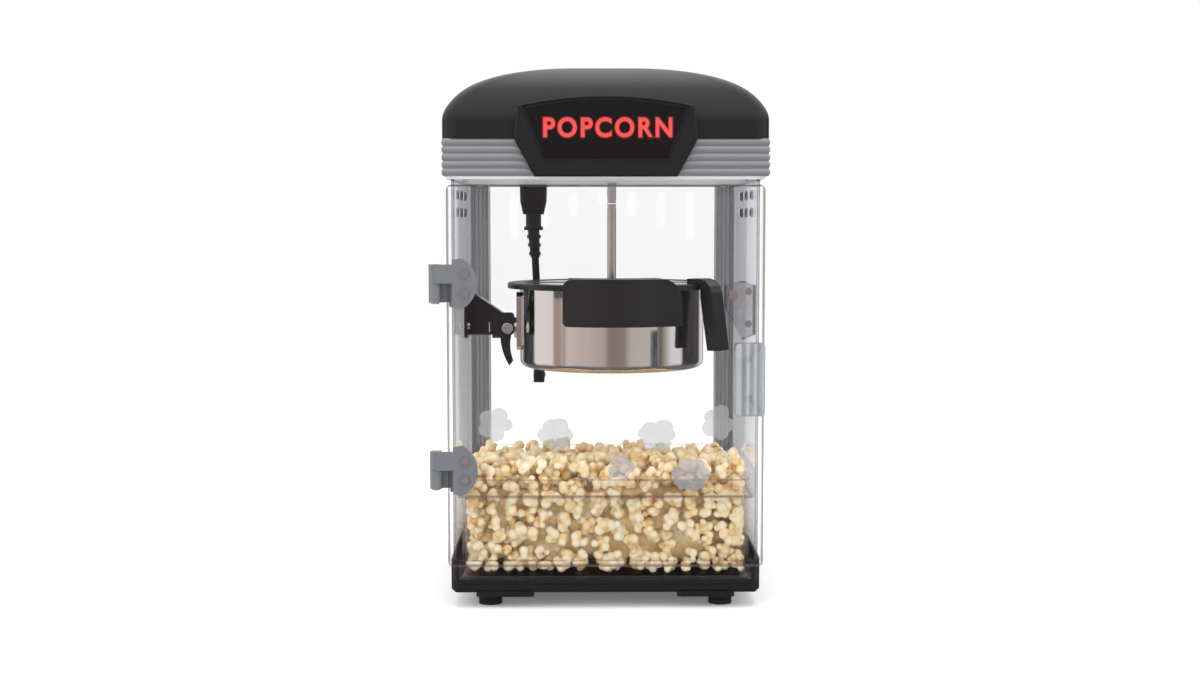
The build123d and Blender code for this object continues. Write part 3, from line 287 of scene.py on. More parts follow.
def metal(name, colour, roughness=0.2, spread=0.12, stretch=(40, 40, 900), relief=0.02, **more):
    """A brushed, drawn or plated metal."""
    material, tree, shader = blank_material(name)
    set_sockets(shader, Base_Color=(*colour, 1), Metallic=1.0, **more)
    group = tree.nodes.new("ShaderNodeGroup")
    group.node_tree = BRUSHED
    group.inputs["Stretch"].default_value = stretch
    group.inputs["Roughness"].default_value = roughness
    group.inputs["Spread"].default_value = spread
    tree.links.new(group.outputs["Roughness"], shader.inputs["Roughness"])
    bump(tree, group.outputs["Height"], shader, relief, 0.0003)
    return material


def clear(
    name,
    box,
    tint,
    film=0.018,
    slant=0.45,
    rim=(0.4, 0.4, 0.44),
    rim_share=0.5,
    width=0.0012,
    haze=0.0,
    line_z=-1.0,
):
    """Thin clear plastic: a faint mirror film, stronger at a slant, and a darker line along its edges."""
    material, tree, shader = blank_material(name)
    link = tree.links.new
    set_sockets(shader, Metallic=1.0, Roughness=0.05 + haze)
    facing = tree.nodes.new("ShaderNodeLayerWeight")
    facing.inputs["Blend"].default_value = 0.5
    steep = tree.nodes.new("ShaderNodeMath")
    steep.operation = "POWER"
    steep.inputs[1].default_value = 4
    link(facing.outputs["Facing"], steep.inputs[0])
    share = tree.nodes.new("ShaderNodeMath")
    share.operation = "MULTIPLY_ADD"
    share.inputs[1].default_value = slant
    share.inputs[2].default_value = film
    link(steep.outputs[0], share.inputs[0])
    edges = tree.nodes.new("ShaderNodeGroup")
    edges.node_tree = EDGES
    edges.inputs["Low"].default_value = box[0]
    edges.inputs["High"].default_value = box[1]
    edges.inputs["Width"].default_value = width
    edges.inputs["Line Height"].default_value = line_z
    total = tree.nodes.new("ShaderNodeMath")
    total.operation = "MULTIPLY_ADD"
    total.use_clamp = True
    total.inputs[1].default_value = rim_share
    link(edges.outputs["Edge"], total.inputs[0])
    link(share.outputs[0], total.inputs[2])
    link(total.outputs[0], shader.inputs["Alpha"])
    blend = tree.nodes.new("ShaderNodeMix")
    blend.data_type = "RGBA"
    blend.inputs["A"].default_value = (*tint, 1)
    blend.inputs["B"].default_value = (*rim, 1)
    link(edges.outputs["Edge"], blend.inputs["Factor"])
    link(blend.outputs["Result"], shader.inputs["Base Color"])
    return material


def glow(name, colour, strength):
    material, tree, shader = blank_material(name)
    set_sockets(shader, Base_Color=(*colour, 1), Roughness=0.4, Emission_Color=(*colour, 1))
    set_sockets(shader, Emission_Strength=strength)
    return material


black_gloss = moulded("black moulded plastic", (0.007, 0.007, 0.008), 0.34, 0.08, relief=0.04)
black_satin = moulded("black satin plastic", (0.006, 0.006, 0.007), 0.36, 0.1, grain=1400, relief=0.08)
black_steel = moulded("black coated steel", (0.006, 0.006, 0.007), 0.24, 0.1, relief=0.05, Coat_Weight=0.3)
lens_black = moulded("dark sign window", (0.004, 0.003, 0.004), 0.14, 0.04, relief=0.01)
cord_rubber = moulded("cord rubber", (0.006, 0.006, 0.007), 0.42, 0.1, grain=1800, relief=0.1)
foot_rubber = moulded("foot rubber", (0.008, 0.008, 0.008), 0.6, 0.1, grain=1500, relief=0.15)
silver_paint = moulded(
    "silver paint", (0.30, 0.305, 0.32), 0.30, 0.05, grain=2600, relief=0.02, Metallic=0.6
)
post_paint = moulded(
    "silver post paint", (0.30, 0.31, 0.325), 0.34, 0.04, grain=2600, relief=0.01, Metallic=0.35
)
ceiling_paint = moulded("pale ceiling paint", (0.62, 0.62, 0.65), 0.45, 0.1, relief=0.04)
hinge_metal = moulded(
    "grey hinge metal", (0.20, 0.215, 0.235), 0.34, 0.06, grain=2200, relief=0.05, Metallic=0.4
)
board_green = moulded("circuit board", (0.02, 0.16, 0.06), 0.4, 0.1)
vent_navy = moulded("dark vent rims", (0.02, 0.02, 0.07), 0.4, 0.05)
steel = metal("polished kettle steel", (0.84, 0.80, 0.785), 0.07, 0.05, (12, 12, 500), 0.008)
drawn_steel = metal("drawn steel", (0.66, 0.655, 0.65), 0.2, 0.1, (500, 500, 20), 0.01)
plated = metal("bright plating", (0.80, 0.81, 0.83), 0.16, 0.06, (200, 200, 200), 0.01)
brass = metal("brass", (0.7, 0.5, 0.22), 0.3, 0.1, (200, 200, 200), 0.02)
LAVENDER = (0.66, 0.67, 0.80)
clear_left = clear("clear left wall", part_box("side_panel_left"), LAVENDER, slant=0.7)
clear_right = clear("clear right wall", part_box("side_panel_right"), LAVENDER, slant=0.7)
clear_back = clear("clear back wall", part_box("rear_panel"), (0.9, 0.9, 0.92), film=0.03)
clear_door = clear("clear door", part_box("door_panel"), (0.9, 0.9, 0.93), width=0.0016, rim_share=0.45)
TRAY_WALLS = ((-0.1212, -0.1162, 0.0252), (0.1212, 0.1032, 0.1092))
clear_tray = clear(
    "clear tray",
    TRAY_WALLS,
    (0.9, 0.86, 0.85),
    rim=(0.60, 0.47, 0.45),
    rim_share=0.4,
    width=0.0015,
    line_z=0.0944,
)
clear_catch = clear("clear catch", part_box("door_catch"), (0.55, 0.56, 0.72), film=0.25, haze=0.1)


# Painted highlight: the grip's rib crests are painted paler down to this depth.
CREST_HIGHLIGHT_DEPTH = 0.0028  # how deep the grip's paler crests reach


def grip_plastic():
    """Thick clear-grey plastic: greenish grey, half see-through, with a painted highlight that makes the
    crests of its ribs paler.
    """
    material, tree, shader = blank_material("clear grey grip")
    set_sockets(shader, Roughness=0.22, IOR=1.49)
    low = corners("door_handle")[0]
    place = tree.nodes.new("ShaderNodeTexCoord")
    split = tree.nodes.new("ShaderNodeSeparateXYZ")
    tree.links.new(place.outputs["Object"], split.inputs[0])
    # Painted highlight: paler grey towards the front of the ribs, at their crests.
    crest_highlight = tree.nodes.new("ShaderNodeMapRange")
    crest_highlight.inputs["From Min"].default_value = low.y + CREST_HIGHLIGHT_DEPTH
    crest_highlight.inputs["From Max"].default_value = low.y
    tree.links.new(split.outputs["Y"], crest_highlight.inputs["Value"])
    crest_highlight_tone = tree.nodes.new("ShaderNodeMix")
    crest_highlight_tone.data_type = "RGBA"
    crest_highlight_tone.inputs["A"].default_value = (0.16, 0.175, 0.18, 1)
    crest_highlight_tone.inputs["B"].default_value = (0.36, 0.38, 0.39, 1)
    tree.links.new(crest_highlight.outputs["Result"], crest_highlight_tone.inputs["Factor"])
    tree.links.new(crest_highlight_tone.outputs["Result"], shader.inputs["Base Color"])
    set_sockets(shader, Alpha=0.78)
    return material


grip_grey = grip_plastic()

FINISHES = {
    black_gloss: "base_tub canopy_cap",
    black_satin: "sign_bezel kettle_socket switch_housings supply_gland lid_ring kettle_handle "
    "front_lid_grip catch_magnet rocker_heat rocker_light kettle_plug",
    black_steel: "kettle_bracket heater_ring release_lever",
    lens_black: "sign_lens",
    cord_rubber: "plug_relief kettle_cord kettle_gland",
    foot_rubber: "feet",
    silver_paint: "canopy_band",
    post_paint: "rear_post_left rear_post_right",
    ceiling_paint: "ceiling_plate",
    hinge_metal: "body_leaves door_leaves",
    board_green: "led_board",
    steel: "kettle_pan kettle_base_plate front_lid_flap rear_lid_flap mount_pad",
    drawn_steel: "gearbox stir_motor stir_blade stir_rod drive_shaft",
    plated: "foot_screws ceiling_screws gearbox_screws bracket_screws lever_pin catch_screws "
    "body_leaf_screws hinge_pins door_leaf_screws door_handle_screws strike_plate trunnion lid_hinge_rods",
    brass: "thermostat",
    clear_left: "side_panel_left",
    clear_right: "side_panel_right",
    clear_back: "rear_panel",
    clear_door: "door_panel",
    clear_tray: "tray",
    clear_catch: "door_catch",
    grip_grey: "door_handle",
}
for finish, names in FINISHES.items():
    for name in names.split():
        node = bpy.data.objects[name]
        node.data.materials.clear()
        node.data.materials.append(finish)

# ---- camera --------------------------------------------------------------------------------------
camera_data = bpy.data.cameras.new("camera")
camera_data.lens = 48.2
camera_data.sensor_width = 36
camera = bpy.data.objects.new("camera", camera_data)
bpy.context.collection.objects.link(camera)
camera.location = (-0.018, -1.454, 0.3247)
camera.rotation_euler = (math.radians(90 - 4.11), 0, math.radians(-0.57))
bpy.context.scene.camera = camera

# ---- kettle cord ---------------------------------------------------------------------------------
CORD_D = 0.007
CORD_POINTS = (
    (-0.0645, 0.0810, 0.2910),
    (-0.0640, 0.0826, 0.2770),
    (-0.0633, 0.0910, 0.2636),
    (-0.0624, 0.0983, 0.2495),
    (-0.0615, 0.1036, 0.2318),
    (-0.0608, 0.1039, 0.2105),
    (-0.0603, 0.0940, 0.1919),
    (-0.0600, 0.0764, 0.1811),
    (-0.0600, 0.0600, 0.1811),
)


def spline_object(name, points, thickness=0.0):
    """A smooth NURBS line through the room, with the points as its control points."""
    curve = bpy.data.curves.new(name, "CURVE")
    curve.dimensions = "3D"
    curve.resolution_u = 12
    curve.bevel_depth = thickness
    curve.bevel_resolution = 4
    spline = curve.splines.new("NURBS")
    spline.points.add(len(points) - 1)
    for slot_point, point in zip(spline.points, points):
        slot_point.co = (*point, 1)
    spline.order_u = 3
    spline.use_endpoint_u = True
    piece = bpy.data.objects.new(name, curve)
    bpy.context.collection.objects.link(piece)
    return piece


def as_mesh(piece, name):
    """A mesh copy of a curve or a text, at the same place."""
    mesh = bpy.data.meshes.new_from_object(piece.evaluated_get(bpy.context.evaluated_depsgraph_get()))
    mesh.transform(piece.matrix_world)
    bpy.data.objects.remove(piece)
    solid = bpy.data.objects.new(name, mesh)
    bpy.context.collection.objects.link(solid)
    return solid


cord_line = as_mesh(spline_object("cord_line", CORD_POINTS), "cord_line")
bpy.data.objects.remove(cord_line)

cord_piece = as_mesh(spline_object("cord_tube", CORD_POINTS, CORD_D / 2), "cord_tube")
finish_piece(cord_piece, cord_rubber, angle=60)
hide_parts("kettle_cord")
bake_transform(cord_piece)

# ---- popped corn ---------------------------------------------------------------------------------
CORN_KINDS = 16
random.seed(11)


def corn_material():
    """Cream popped corn, browner where the hull shows, and with painted shade that makes its folds browner.
    """
    material, tree, shader = blank_material("popped corn")
    link = tree.links.new
    place = tree.nodes.new("ShaderNodeTexCoord")
    blotch = tree.nodes.new("ShaderNodeTexNoise")
    blotch.inputs["Scale"].default_value = 95
    blotch.inputs["Detail"].default_value = 3
    fine = tree.nodes.new("ShaderNodeTexNoise")
    fine.inputs["Scale"].default_value = 700
    fine.inputs["Detail"].default_value = 4
    link(place.outputs["Object"], blotch.inputs["Vector"])
    link(place.outputs["Object"], fine.inputs["Vector"])
    # Per-point browning: the hull's real brown, painted shade in the creases, and each kernel's own toast.
    depth = tree.nodes.new("ShaderNodeAttribute")
    depth.attribute_name = "browning_and_shade"
    mixed = tree.nodes.new("ShaderNodeMath")
    mixed.operation = "MULTIPLY_ADD"
    mixed.inputs[1].default_value = 0.42
    blotch_tone = tree.nodes.new("ShaderNodeMath")
    blotch_tone.operation = "MULTIPLY_ADD"
    blotch_tone.inputs[1].default_value = 0.9
    blotch_tone.inputs[2].default_value = -0.06
    link(blotch.outputs["Fac"], blotch_tone.inputs[0])
    link(depth.outputs["Fac"], mixed.inputs[0])
    link(blotch_tone.outputs[0], mixed.inputs[2])
    ramp = tree.nodes.new("ShaderNodeValToRGB")
    stops = (
        (0.34, (0.90, 0.80, 0.62)),
        (0.66, (0.84, 0.66, 0.38)),
        (0.90, (0.70, 0.43, 0.15)),
        (1.0, (0.40, 0.18, 0.05)),
    )
    ramp.color_ramp.elements[0].position = stops[0][0]
    ramp.color_ramp.elements[0].color = (*stops[0][1], 1)
    ramp.color_ramp.elements[1].position = stops[-1][0]
    ramp.color_ramp.elements[1].color = (*stops[-1][1], 1)
    for position, colour in stops[1:-1]:
        ramp.color_ramp.elements.new(position).color = (*colour, 1)
    link(mixed.outputs[0], ramp.inputs["Fac"])
    link(ramp.outputs["Color"], shader.inputs["Base Color"])
    set_sockets(shader, Roughness=0.62, Subsurface_Weight=0.2, Subsurface_Scale=0.004)
    set_sockets(shader, Subsurface_Radius=(1.0, 0.7, 0.4))
    bump(tree, fine.outputs["Fac"], shader, 0.35, 0.0006)
    return material


def corn_shape(number):
    """One popped kernel of unit size: swollen lobes fused about a small hull, as points, faces and browning:
    painted shade in the creases where lobes meet, and the hull's brown near the middle.
    """
    rng = random.Random(number)
    deselect()
    lobes = [(Vector((0, 0, 0)), 0.34)]
    for _ in range(rng.randint(5, 7)):
        out = Vector([rng.gauss(0, 1) for _ in range(3)]).normalized()
        lobes.append((out * rng.uniform(0.38, 0.58), rng.uniform(0.24, 0.42)))
    for centre, radius in lobes:
        bpy.ops.mesh.primitive_ico_sphere_add(subdivisions=2, radius=radius, location=centre)
    for piece in bpy.data.objects:
        if piece.name.startswith("Icosphere"):
            piece.select_set(True)
    bpy.ops.object.join()
    kernel = bpy.context.object
    bpy.ops.object.transform_apply(location=True, rotation=True, scale=True)
    for kind, settings in (
        ("REMESH", {"mode": "VOXEL", "voxel_size": 0.09}),
        ("SMOOTH", {"factor": 0.5, "iterations": 2}),
        ("DECIMATE", {"ratio": 0.16}),
    ):
        modifier = kernel.modifiers.new(kind.lower(), kind)
        for key, value in settings.items():
            setattr(modifier, key, value)
        bpy.ops.object.modifier_apply(modifier=modifier.name)
    points = [vertex.co.copy() for vertex in kernel.data.vertices]
    faces = [list(face.vertices) for face in kernel.data.polygons]
    browning_and_shade_values = []
    # Painted shade where two lobes meet in a crease, and the hull's real brown near the middle.
    for point in points:
        gaps = sorted((point - centre).length - radius for centre, radius in lobes)
        crease_shade = max(0.0, 1 - (gaps[1] - gaps[0]) / 0.22)
        browning_and_shade_values.append(0.55 * crease_shade + 0.45 * max(0.0, 1 - (point.length - 0.3) / 0.35))
    mesh = kernel.data
    bpy.data.objects.remove(kernel)
    bpy.data.meshes.remove(mesh)
    return points, faces, browning_and_shade_values


corn_kinds = [corn_shape(kind) for kind in range(CORN_KINDS)]
corn = corn_material()
tray_low, tray_high = corners("tray")
HEAP_TOP = 0.1175


def heap_height(x, y):
    """The heap's surface: highest at the front and the sides, and lower under the tipping kettle."""
    ripple = 0.006 * noise.noise(Vector((x * 26, y * 26, 3)))
    return HEAP_TOP - 0.008 + ripple + 0.012 * math.exp(-((y + 0.085) ** 2) / 0.0018)


TOAST_SPREAD = 0.42
TOP_TOAST = 0.12
PALE_SHIFT = 0.06
TOP_LAYER = 0.022


def heap_piece(name, kernels):
    """One mesh out of many kernels, each given as (kind, centre, size, turn)."""
    points, faces, browning_and_shade_values = [], [], []
    for kind, centre, size, turn in kernels:
        shape, shape_faces, shape_browning_and_shade = corn_kinds[kind]
        first = len(points)
        points += [centre + turn @ (point * size) for point in shape]
        faces += [[first + index for index in face] for face in shape_faces]
        on_top = TOP_TOAST if centre.z > HEAP_TOP - TOP_LAYER else 0
        toast = TOAST_SPREAD * random.random() ** 2 + on_top - PALE_SHIFT
        browning_and_shade_values += [browning_and_shade + toast for browning_and_shade in shape_browning_and_shade]
    mesh = bpy.data.meshes.new(name)
    mesh.from_pydata(points, [], faces)
    attribute = mesh.attributes.new("browning_and_shade", "FLOAT", "POINT")
    attribute.data.foreach_set("value", browning_and_shade_values)
    mesh.shade_smooth()
    piece = bpy.data.objects.new(name, mesh)
    bpy.context.collection.objects.link(piece)
    piece.data.materials.append(corn)
    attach(piece, "machine")
    return piece


def random_turn():
    axis = Vector([random.gauss(0, 1) for _ in range(3)]).normalized()
    return Matrix.Rotation(random.uniform(0, 2 * math.pi), 3, axis)


SIDE_WALL = 0.0062  # from the outside of the tray's rim to the inside of its walls
END_WALL = 0.0048
TRAY_FLOOR = 0.0026
CORN_PITCH = 0.0150
LAYER_PITCH = CORN_PITCH * 0.8
CORN_SIZE = (0.0098, 0.0126)
CORN_JITTER = 0.0045
FIRST_ROW = 0.0085  # from a wall to the first row's centres
FIRST_LAYER = 0.0035
FRONT_SKIN = 0.026
SIDE_SKIN = 0.022
TOP_SKIN = 0.024


def fill_heap():
    """Kernels on a jittered grid, layer over layer, in the tray's outer part and on the heap's top."""
    low = Vector((tray_low.x + SIDE_WALL, tray_low.y + END_WALL, tray_low.z + TRAY_FLOOR))
    high = Vector((tray_high.x - SIDE_WALL, tray_high.y - END_WALL, 0))
    kernels = []
    z = low.z + FIRST_LAYER
    while z < HEAP_TOP + 0.014:
        y = low.y + FIRST_ROW
        while y < high.y:
            x = low.x + FIRST_ROW
            while x < high.x:
                shift = Vector([random.uniform(-CORN_JITTER, CORN_JITTER) for _ in range(3)])
                centre = Vector((x, y, z)) + shift
                size = random.uniform(*CORN_SIZE)
                kind, turn = random.randrange(CORN_KINDS), random_turn()
                reach = corn_reach(kind, turn, size)
                centre.x = min(max(centre.x, low.x + reach[0]), high.x - reach[1])
                centre.y = min(max(centre.y, low.y + reach[2]), high.y - reach[3])
                centre.z = max(centre.z, low.z + reach[4])
                top = heap_height(centre.x, centre.y)
                outer = (
                    centre.y < low.y + FRONT_SKIN
                    or abs(centre.x) > high.x - SIDE_SKIN
                    or centre.y > high.y - SIDE_SKIN
                    or centre.z > top - TOP_SKIN
                )
                if outer and centre.z < top:
                    kernels.append((kind, centre, size, turn))
                x += CORN_PITCH
            y += CORN_PITCH
        z += LAYER_PITCH
    return kernels


def corn_reach(kind, turn, size):
    """How far a kernel reaches to the left, right, front, back, down and up of its centre."""
    points = [turn @ (point * size) for point in corn_kinds[kind][0]]
    spans = [(-min(axis), max(axis)) for axis in zip(*points)]
    return [reach for span in spans for reach in span]


BED_MARGIN = 0.022
BED_TOP = HEAP_TOP - 0.018
BED_LUMP = 0.009


def corn_bed():
    """The tightly packed inside of the heap: a lumpy block well inside its skin of kernels."""
    bpy.ops.mesh.primitive_cube_add(size=1)
    bed = bpy.context.object
    width, depth = tray_high.x - tray_low.x, tray_high.y - tray_low.y
    height = BED_TOP - tray_low.z - BED_MARGIN / 2
    bed.scale = (width - 2 * BED_MARGIN, depth - 2 * BED_MARGIN, height)
    bed.location = (0, (tray_high.y + tray_low.y) / 2, (BED_TOP + tray_low.z + BED_MARGIN / 2) / 2)
    bpy.ops.object.transform_apply(location=True, rotation=True, scale=True)
    bpy.ops.object.mode_set(mode="EDIT")
    bpy.ops.mesh.select_all(action="SELECT")
    bpy.ops.mesh.subdivide(number_cuts=20)
    bpy.ops.mesh.vertices_smooth(factor=0.5, repeat=6)
    bpy.ops.object.mode_set(mode="OBJECT")
    for vertex in bed.data.vertices:
        vertex.co += vertex.normal * BED_LUMP * noise.noise(vertex.co * 95)
    # Painted shade: the whole bed gets a deep browning, standing in for the shade in the gaps between the
    # outer kernels.
    attribute = bed.data.attributes.new("browning_and_shade", "FLOAT", "POINT")
    attribute.data.foreach_set("value", [0.75] * len(bed.data.vertices))
    bed.name = "popped_corn_bed"
    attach(bed, "machine")
    return finish_piece(bed, corn, angle=80)


corn_bed()
kernels = fill_heap()
SHARE = 260
for first in range(0, len(kernels), SHARE):
    heap_piece(f"popped_corn_{first // SHARE + 1}", kernels[first : first + SHARE])
print("kernels", len(kernels))

# ---- lit sign ------------------------------------------------------------------------------------
letter_red = glow("lit red letters", (0.80, 0.035, 0.03), 0.85)
halo_near = glow("near letter halo", (0.30, 0.012, 0.012), 0.6)
halo_far = glow("far letter halo", (0.07, 0.006, 0.006), 0.5)
lens_low, lens_high = corners("sign_lens")
LETTER_W = 0.1040
LETTER_H = 0.0150
LETTER_MID_Z = 0.4018


def sign_word(name, text, material, grow, front, depth):
    """Raised letters, centred on the sign window."""
    bpy.ops.object.text_add(location=(0, 0, 0), rotation=(math.radians(90), 0, 0))
    word = bpy.context.object
    word.data.body = text
    word.data.align_x = "CENTER"
    word.data.align_y = "CENTER"
    word.data.size = 0.024
    word.data.space_character = 1.22
    word.data.extrude = depth / 2
    word.data.offset = grow
    bpy.ops.object.convert(target="MESH")
    bpy.ops.object.transform_apply(location=True, rotation=True, scale=True)
    word = bpy.context.object
    xs = [vertex.co.x for vertex in word.data.vertices]
    zs = [vertex.co.z for vertex in word.data.vertices]
    width, height = max(xs) - min(xs), max(zs) - min(zs)
    scale = Matrix.Diagonal(((LETTER_W + 2 * grow) / width, 1, (LETTER_H + 2 * grow) / height, 1))
    centre = Vector(((max(xs) + min(xs)) / 2, 0, (max(zs) + min(zs)) / 2))
    place = Matrix.Translation((0.0015, front + depth / 2, LETTER_MID_Z))
    word.data.transform(place @ scale @ Matrix.Translation(-centre))
    word.name = name
    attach(word, "machine")
    return finish_piece(word, material)


sign_word("sign_letters", "POPCORN", letter_red, 0.0003, lens_low.y - 0.0006, 0.0007)
sign_word("sign_halo_near", "POPCORN", halo_near, 0.0009, lens_low.y - 0.0004, 0.0005)
sign_word("sign_halo_far", "POPCORN", halo_far, 0.0016, lens_low.y - 0.0002, 0.0003)

# ---- silver band ---------------------------------------------------------------------------------
RIBS = 5
RIB_PROUD = 0.0016
RIB_CUTS = 4
BAND_CORNER = 0.0112


def ribbed_band():
    """The canopy's silver band: five half-round ribs that run round a box with round corners."""
    low, high = corners("canopy_band")
    core_low = Vector((low.x + RIB_PROUD, low.y + RIB_PROUD, low.z + 0.0012))
    core_high = Vector((high.x - RIB_PROUD, high.y - RIB_PROUD, high.z))
    bpy.ops.mesh.primitive_cube_add(size=1, location=(core_low + core_high) / 2)
    band = bpy.context.object
    band.scale = core_high - core_low
    bpy.ops.object.transform_apply(location=True, rotation=True, scale=True)
    bpy.ops.object.mode_set(mode="EDIT")
    bpy.ops.mesh.select_all(action="DESELECT")
    mesh = bmesh.from_edit_mesh(band.data)
    for edge in mesh.edges:
        edge.select = abs(edge.verts[0].co.z - edge.verts[1].co.z) > 0.01
    bmesh.update_edit_mesh(band.data)
    bpy.ops.mesh.bevel(offset=BAND_CORNER, segments=8)
    rib_pitch = (core_high.z - core_low.z) / RIBS
    levels = [core_low.z + rib_pitch * step / RIB_CUTS for step in range(1, RIBS * RIB_CUTS)]
    for level in levels:
        bpy.ops.mesh.select_all(action="SELECT")
        bpy.ops.mesh.bisect(plane_co=(0, 0, level), plane_no=(0, 0, 1))
    bpy.ops.mesh.select_all(action="SELECT")
    bpy.ops.mesh.remove_doubles(threshold=0.00001)
    bpy.ops.object.mode_set(mode="OBJECT")
    for vertex in band.data.vertices:
        share = (vertex.co.z - core_low.z) / rib_pitch
        on_a_rib = 0.01 < share < RIBS - 0.01
        swell = RIB_PROUD * math.sqrt(max(0.0, math.sin(math.pi * (share % 1)))) if on_a_rib else 0
        side = vertex.normal.copy()
        side.z = 0
        if side.length > 0.1 and swell:
            vertex.co += side.normalized() * swell * 0.97
    bpy.ops.object.mode_set(mode="EDIT")
    select_faces(band, lambda face: face.normal.z < -0.9 and face.calc_area() > 0.01)
    bpy.ops.mesh.inset(thickness=0.0025)
    bpy.ops.mesh.extrude_region_move(TRANSFORM_OT_translate={"value": (0, 0, 0.012)})
    bpy.ops.object.mode_set(mode="OBJECT")
    band.name = "ribbed_band"
    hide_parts("canopy_band")
    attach(band, "machine")
    return finish_piece(band, silver_paint, angle=50)


ribbed_band()

# ---- vent rims -----------------------------------------------------------------------------------
VENT_YS = (-0.067, -0.022, 0.023)
VENT_ZS = (0.348, 0.333)
VENT_STRETCH = 0.00425
VENT_WALLS = ("side_panel_left", "side_panel_right")


def vent_rim(number, x, y, z):
    """A dark rim round one vent slot of a side wall."""
    bpy.ops.mesh.primitive_torus_add(
        major_radius=0.0033,
        minor_radius=0.0009,
        major_segments=24,
        minor_segments=8,
        location=(x, y, z),
        rotation=(0, math.radians(90), 0),
    )
    rim = bpy.context.object
    bpy.ops.object.transform_apply(location=True, rotation=True, scale=True)
    for vertex in rim.data.vertices:
        vertex.co.y += VENT_STRETCH if vertex.co.y > y + 0.00001 else -VENT_STRETCH
    rim.name = f"vent_rim_{number}"
    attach(rim, "machine")
    return finish_piece(rim, vent_navy, angle=60)


vent_places = [(middle(wall).x, y, z) for wall in VENT_WALLS for y in VENT_YS for z in VENT_ZS]
for number, place in enumerate(vent_places, start=1):
    vent_rim(number, *place)

# ---- door prints ---------------------------------------------------------------------------------
PRINTS = (
    ((-0.1055, -0.0774), (0.143, 0.171), 5),
    ((-0.0568, -0.0270), (0.1356, 0.1624), 6),
    ((0.0266, 0.0579), (0.1356, 0.1608), 6),
    ((0.0802, 0.1066), (0.144, 0.1733), 5),
    ((0.0020, 0.0240), (0.1105, 0.1314), 5),
    ((0.0546, 0.0876), (0.102, 0.129), 6),
)


def print_material():
    """Pale translucent ink, a little uneven."""
    material, tree, shader = blank_material("pale print")
    set_sockets(shader, Base_Color=(0.36, 0.36, 0.375, 1), Roughness=0.8)
    place = tree.nodes.new("ShaderNodeTexCoord")
    cloud = tree.nodes.new("ShaderNodeTexNoise")
    cloud.inputs["Scale"].default_value = 60
    tree.links.new(place.outputs["Object"], cloud.inputs["Vector"])
    share = tree.nodes.new("ShaderNodeMapRange")
    share.inputs["To Min"].default_value = 0.34
    share.inputs["To Max"].default_value = 0.42
    tree.links.new(cloud.outputs["Fac"], share.inputs["Value"])
    tree.links.new(share.outputs["Result"], shader.inputs["Alpha"])
    return material


pale_print = print_material()
door_front = corners("door_panel")[0].y


PRINT_PROUD = 0.00025
PRINT_INK = 0.00015


def door_print(number, span_x, span_z, puffs):
    """A flat printed puff of corn: a disc whose outline is the union of round lobes."""
    rng = random.Random(40 + number)
    lobes = []
    for index in range(puffs):
        turn = 2 * math.pi * (index + rng.uniform(-0.2, 0.2)) / puffs
        centre = Vector((math.cos(turn), 0, math.sin(turn))) * rng.uniform(0.5, 0.62)
        lobes.append((centre, rng.uniform(0.4, 0.52)))
    bpy.ops.mesh.primitive_circle_add(
        vertices=120, radius=1, fill_type="NGON", rotation=(math.radians(90), 0, 0)
    )
    piece = bpy.context.object
    bpy.ops.object.transform_apply(location=True, rotation=True, scale=True)
    for vertex in piece.data.vertices:
        direction = vertex.co.normalized()
        reach = 0.5
        for centre, radius in lobes:
            along = centre.dot(direction)
            miss = centre.length_squared - along * along
            if along > 0 and miss < radius * radius:
                reach = max(reach, along + math.sqrt(radius * radius - miss))
        vertex.co = direction * reach
    xs = [vertex.co.x for vertex in piece.data.vertices]
    zs = [vertex.co.z for vertex in piece.data.vertices]
    for vertex in piece.data.vertices:
        vertex.co.x = span_x[0] + (span_x[1] - span_x[0]) * (vertex.co.x - min(xs)) / (max(xs) - min(xs))
        vertex.co.z = span_z[0] + (span_z[1] - span_z[0]) * (vertex.co.z - min(zs)) / (max(zs) - min(zs))
        vertex.co.y = door_front - PRINT_PROUD
    piece.name = f"door_print_{number + 1}"
    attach(piece, "door")
    return finish_piece(piece, pale_print, modifiers=(("SOLIDIFY", {"thickness": PRINT_INK}),))


for number, (span_x, span_z, puffs) in enumerate(PRINTS):
    door_print(number, span_x, span_z, puffs)

# ---- studio --------------------------------------------------------------------------------------
bpy.context.scene.view_settings.view_transform = "Standard"
bpy.ops.mesh.primitive_plane_add(size=9, location=(0, 0, 0))
floor = bpy.context.object
floor.name = "studio_floor"
floor_paper = moulded("floor paper", (0.93, 0.93, 0.93), 0.8, 0.05, grain=300, relief=0.01)
floor_shader = floor_paper.node_tree.nodes["Principled BSDF"]
set_sockets(floor_shader, Emission_Color=(1, 1, 1, 1), Emission_Strength=0.14)
floor.data.materials.append(floor_paper)
floor.visible_glossy = False

# What the shiny parts mirror, by the compass direction: (angle from the front in degrees, colour).
MIRRORED = (
    (-180, (0.80, 0.80, 0.82)),
    (-150, (0.75, 0.75, 0.78)),
    (-146, (0.05, 0.05, 0.055)),
    (-116, (0.06, 0.06, 0.065)),
    (-111, (0.95, 0.90, 0.89)),
    (-80, (0.90, 0.84, 0.82)),
    (-76, (0.42, 0.34, 0.27)),
    (-68, (0.42, 0.35, 0.29)),
    (-60, (0.74, 0.66, 0.62)),
    (-10, (0.52, 0.44, 0.42)),
    (-4, (0.27, 0.22, 0.21)),
    (14, (0.30, 0.25, 0.24)),
    (22, (0.55, 0.51, 0.49)),
    (56, (0.62, 0.59, 0.56)),
    (62, (0.13, 0.12, 0.12)),
    (70, (0.50, 0.46, 0.38)),
    (78, (0.80, 0.80, 0.80)),
    (95, (0.82, 0.84, 0.86)),
    (99, (0.035, 0.035, 0.04)),
    (138, (0.07, 0.07, 0.08)),
    (145, (0.9, 0.9, 0.9)),
    (180, (0.80, 0.80, 0.82)),
)


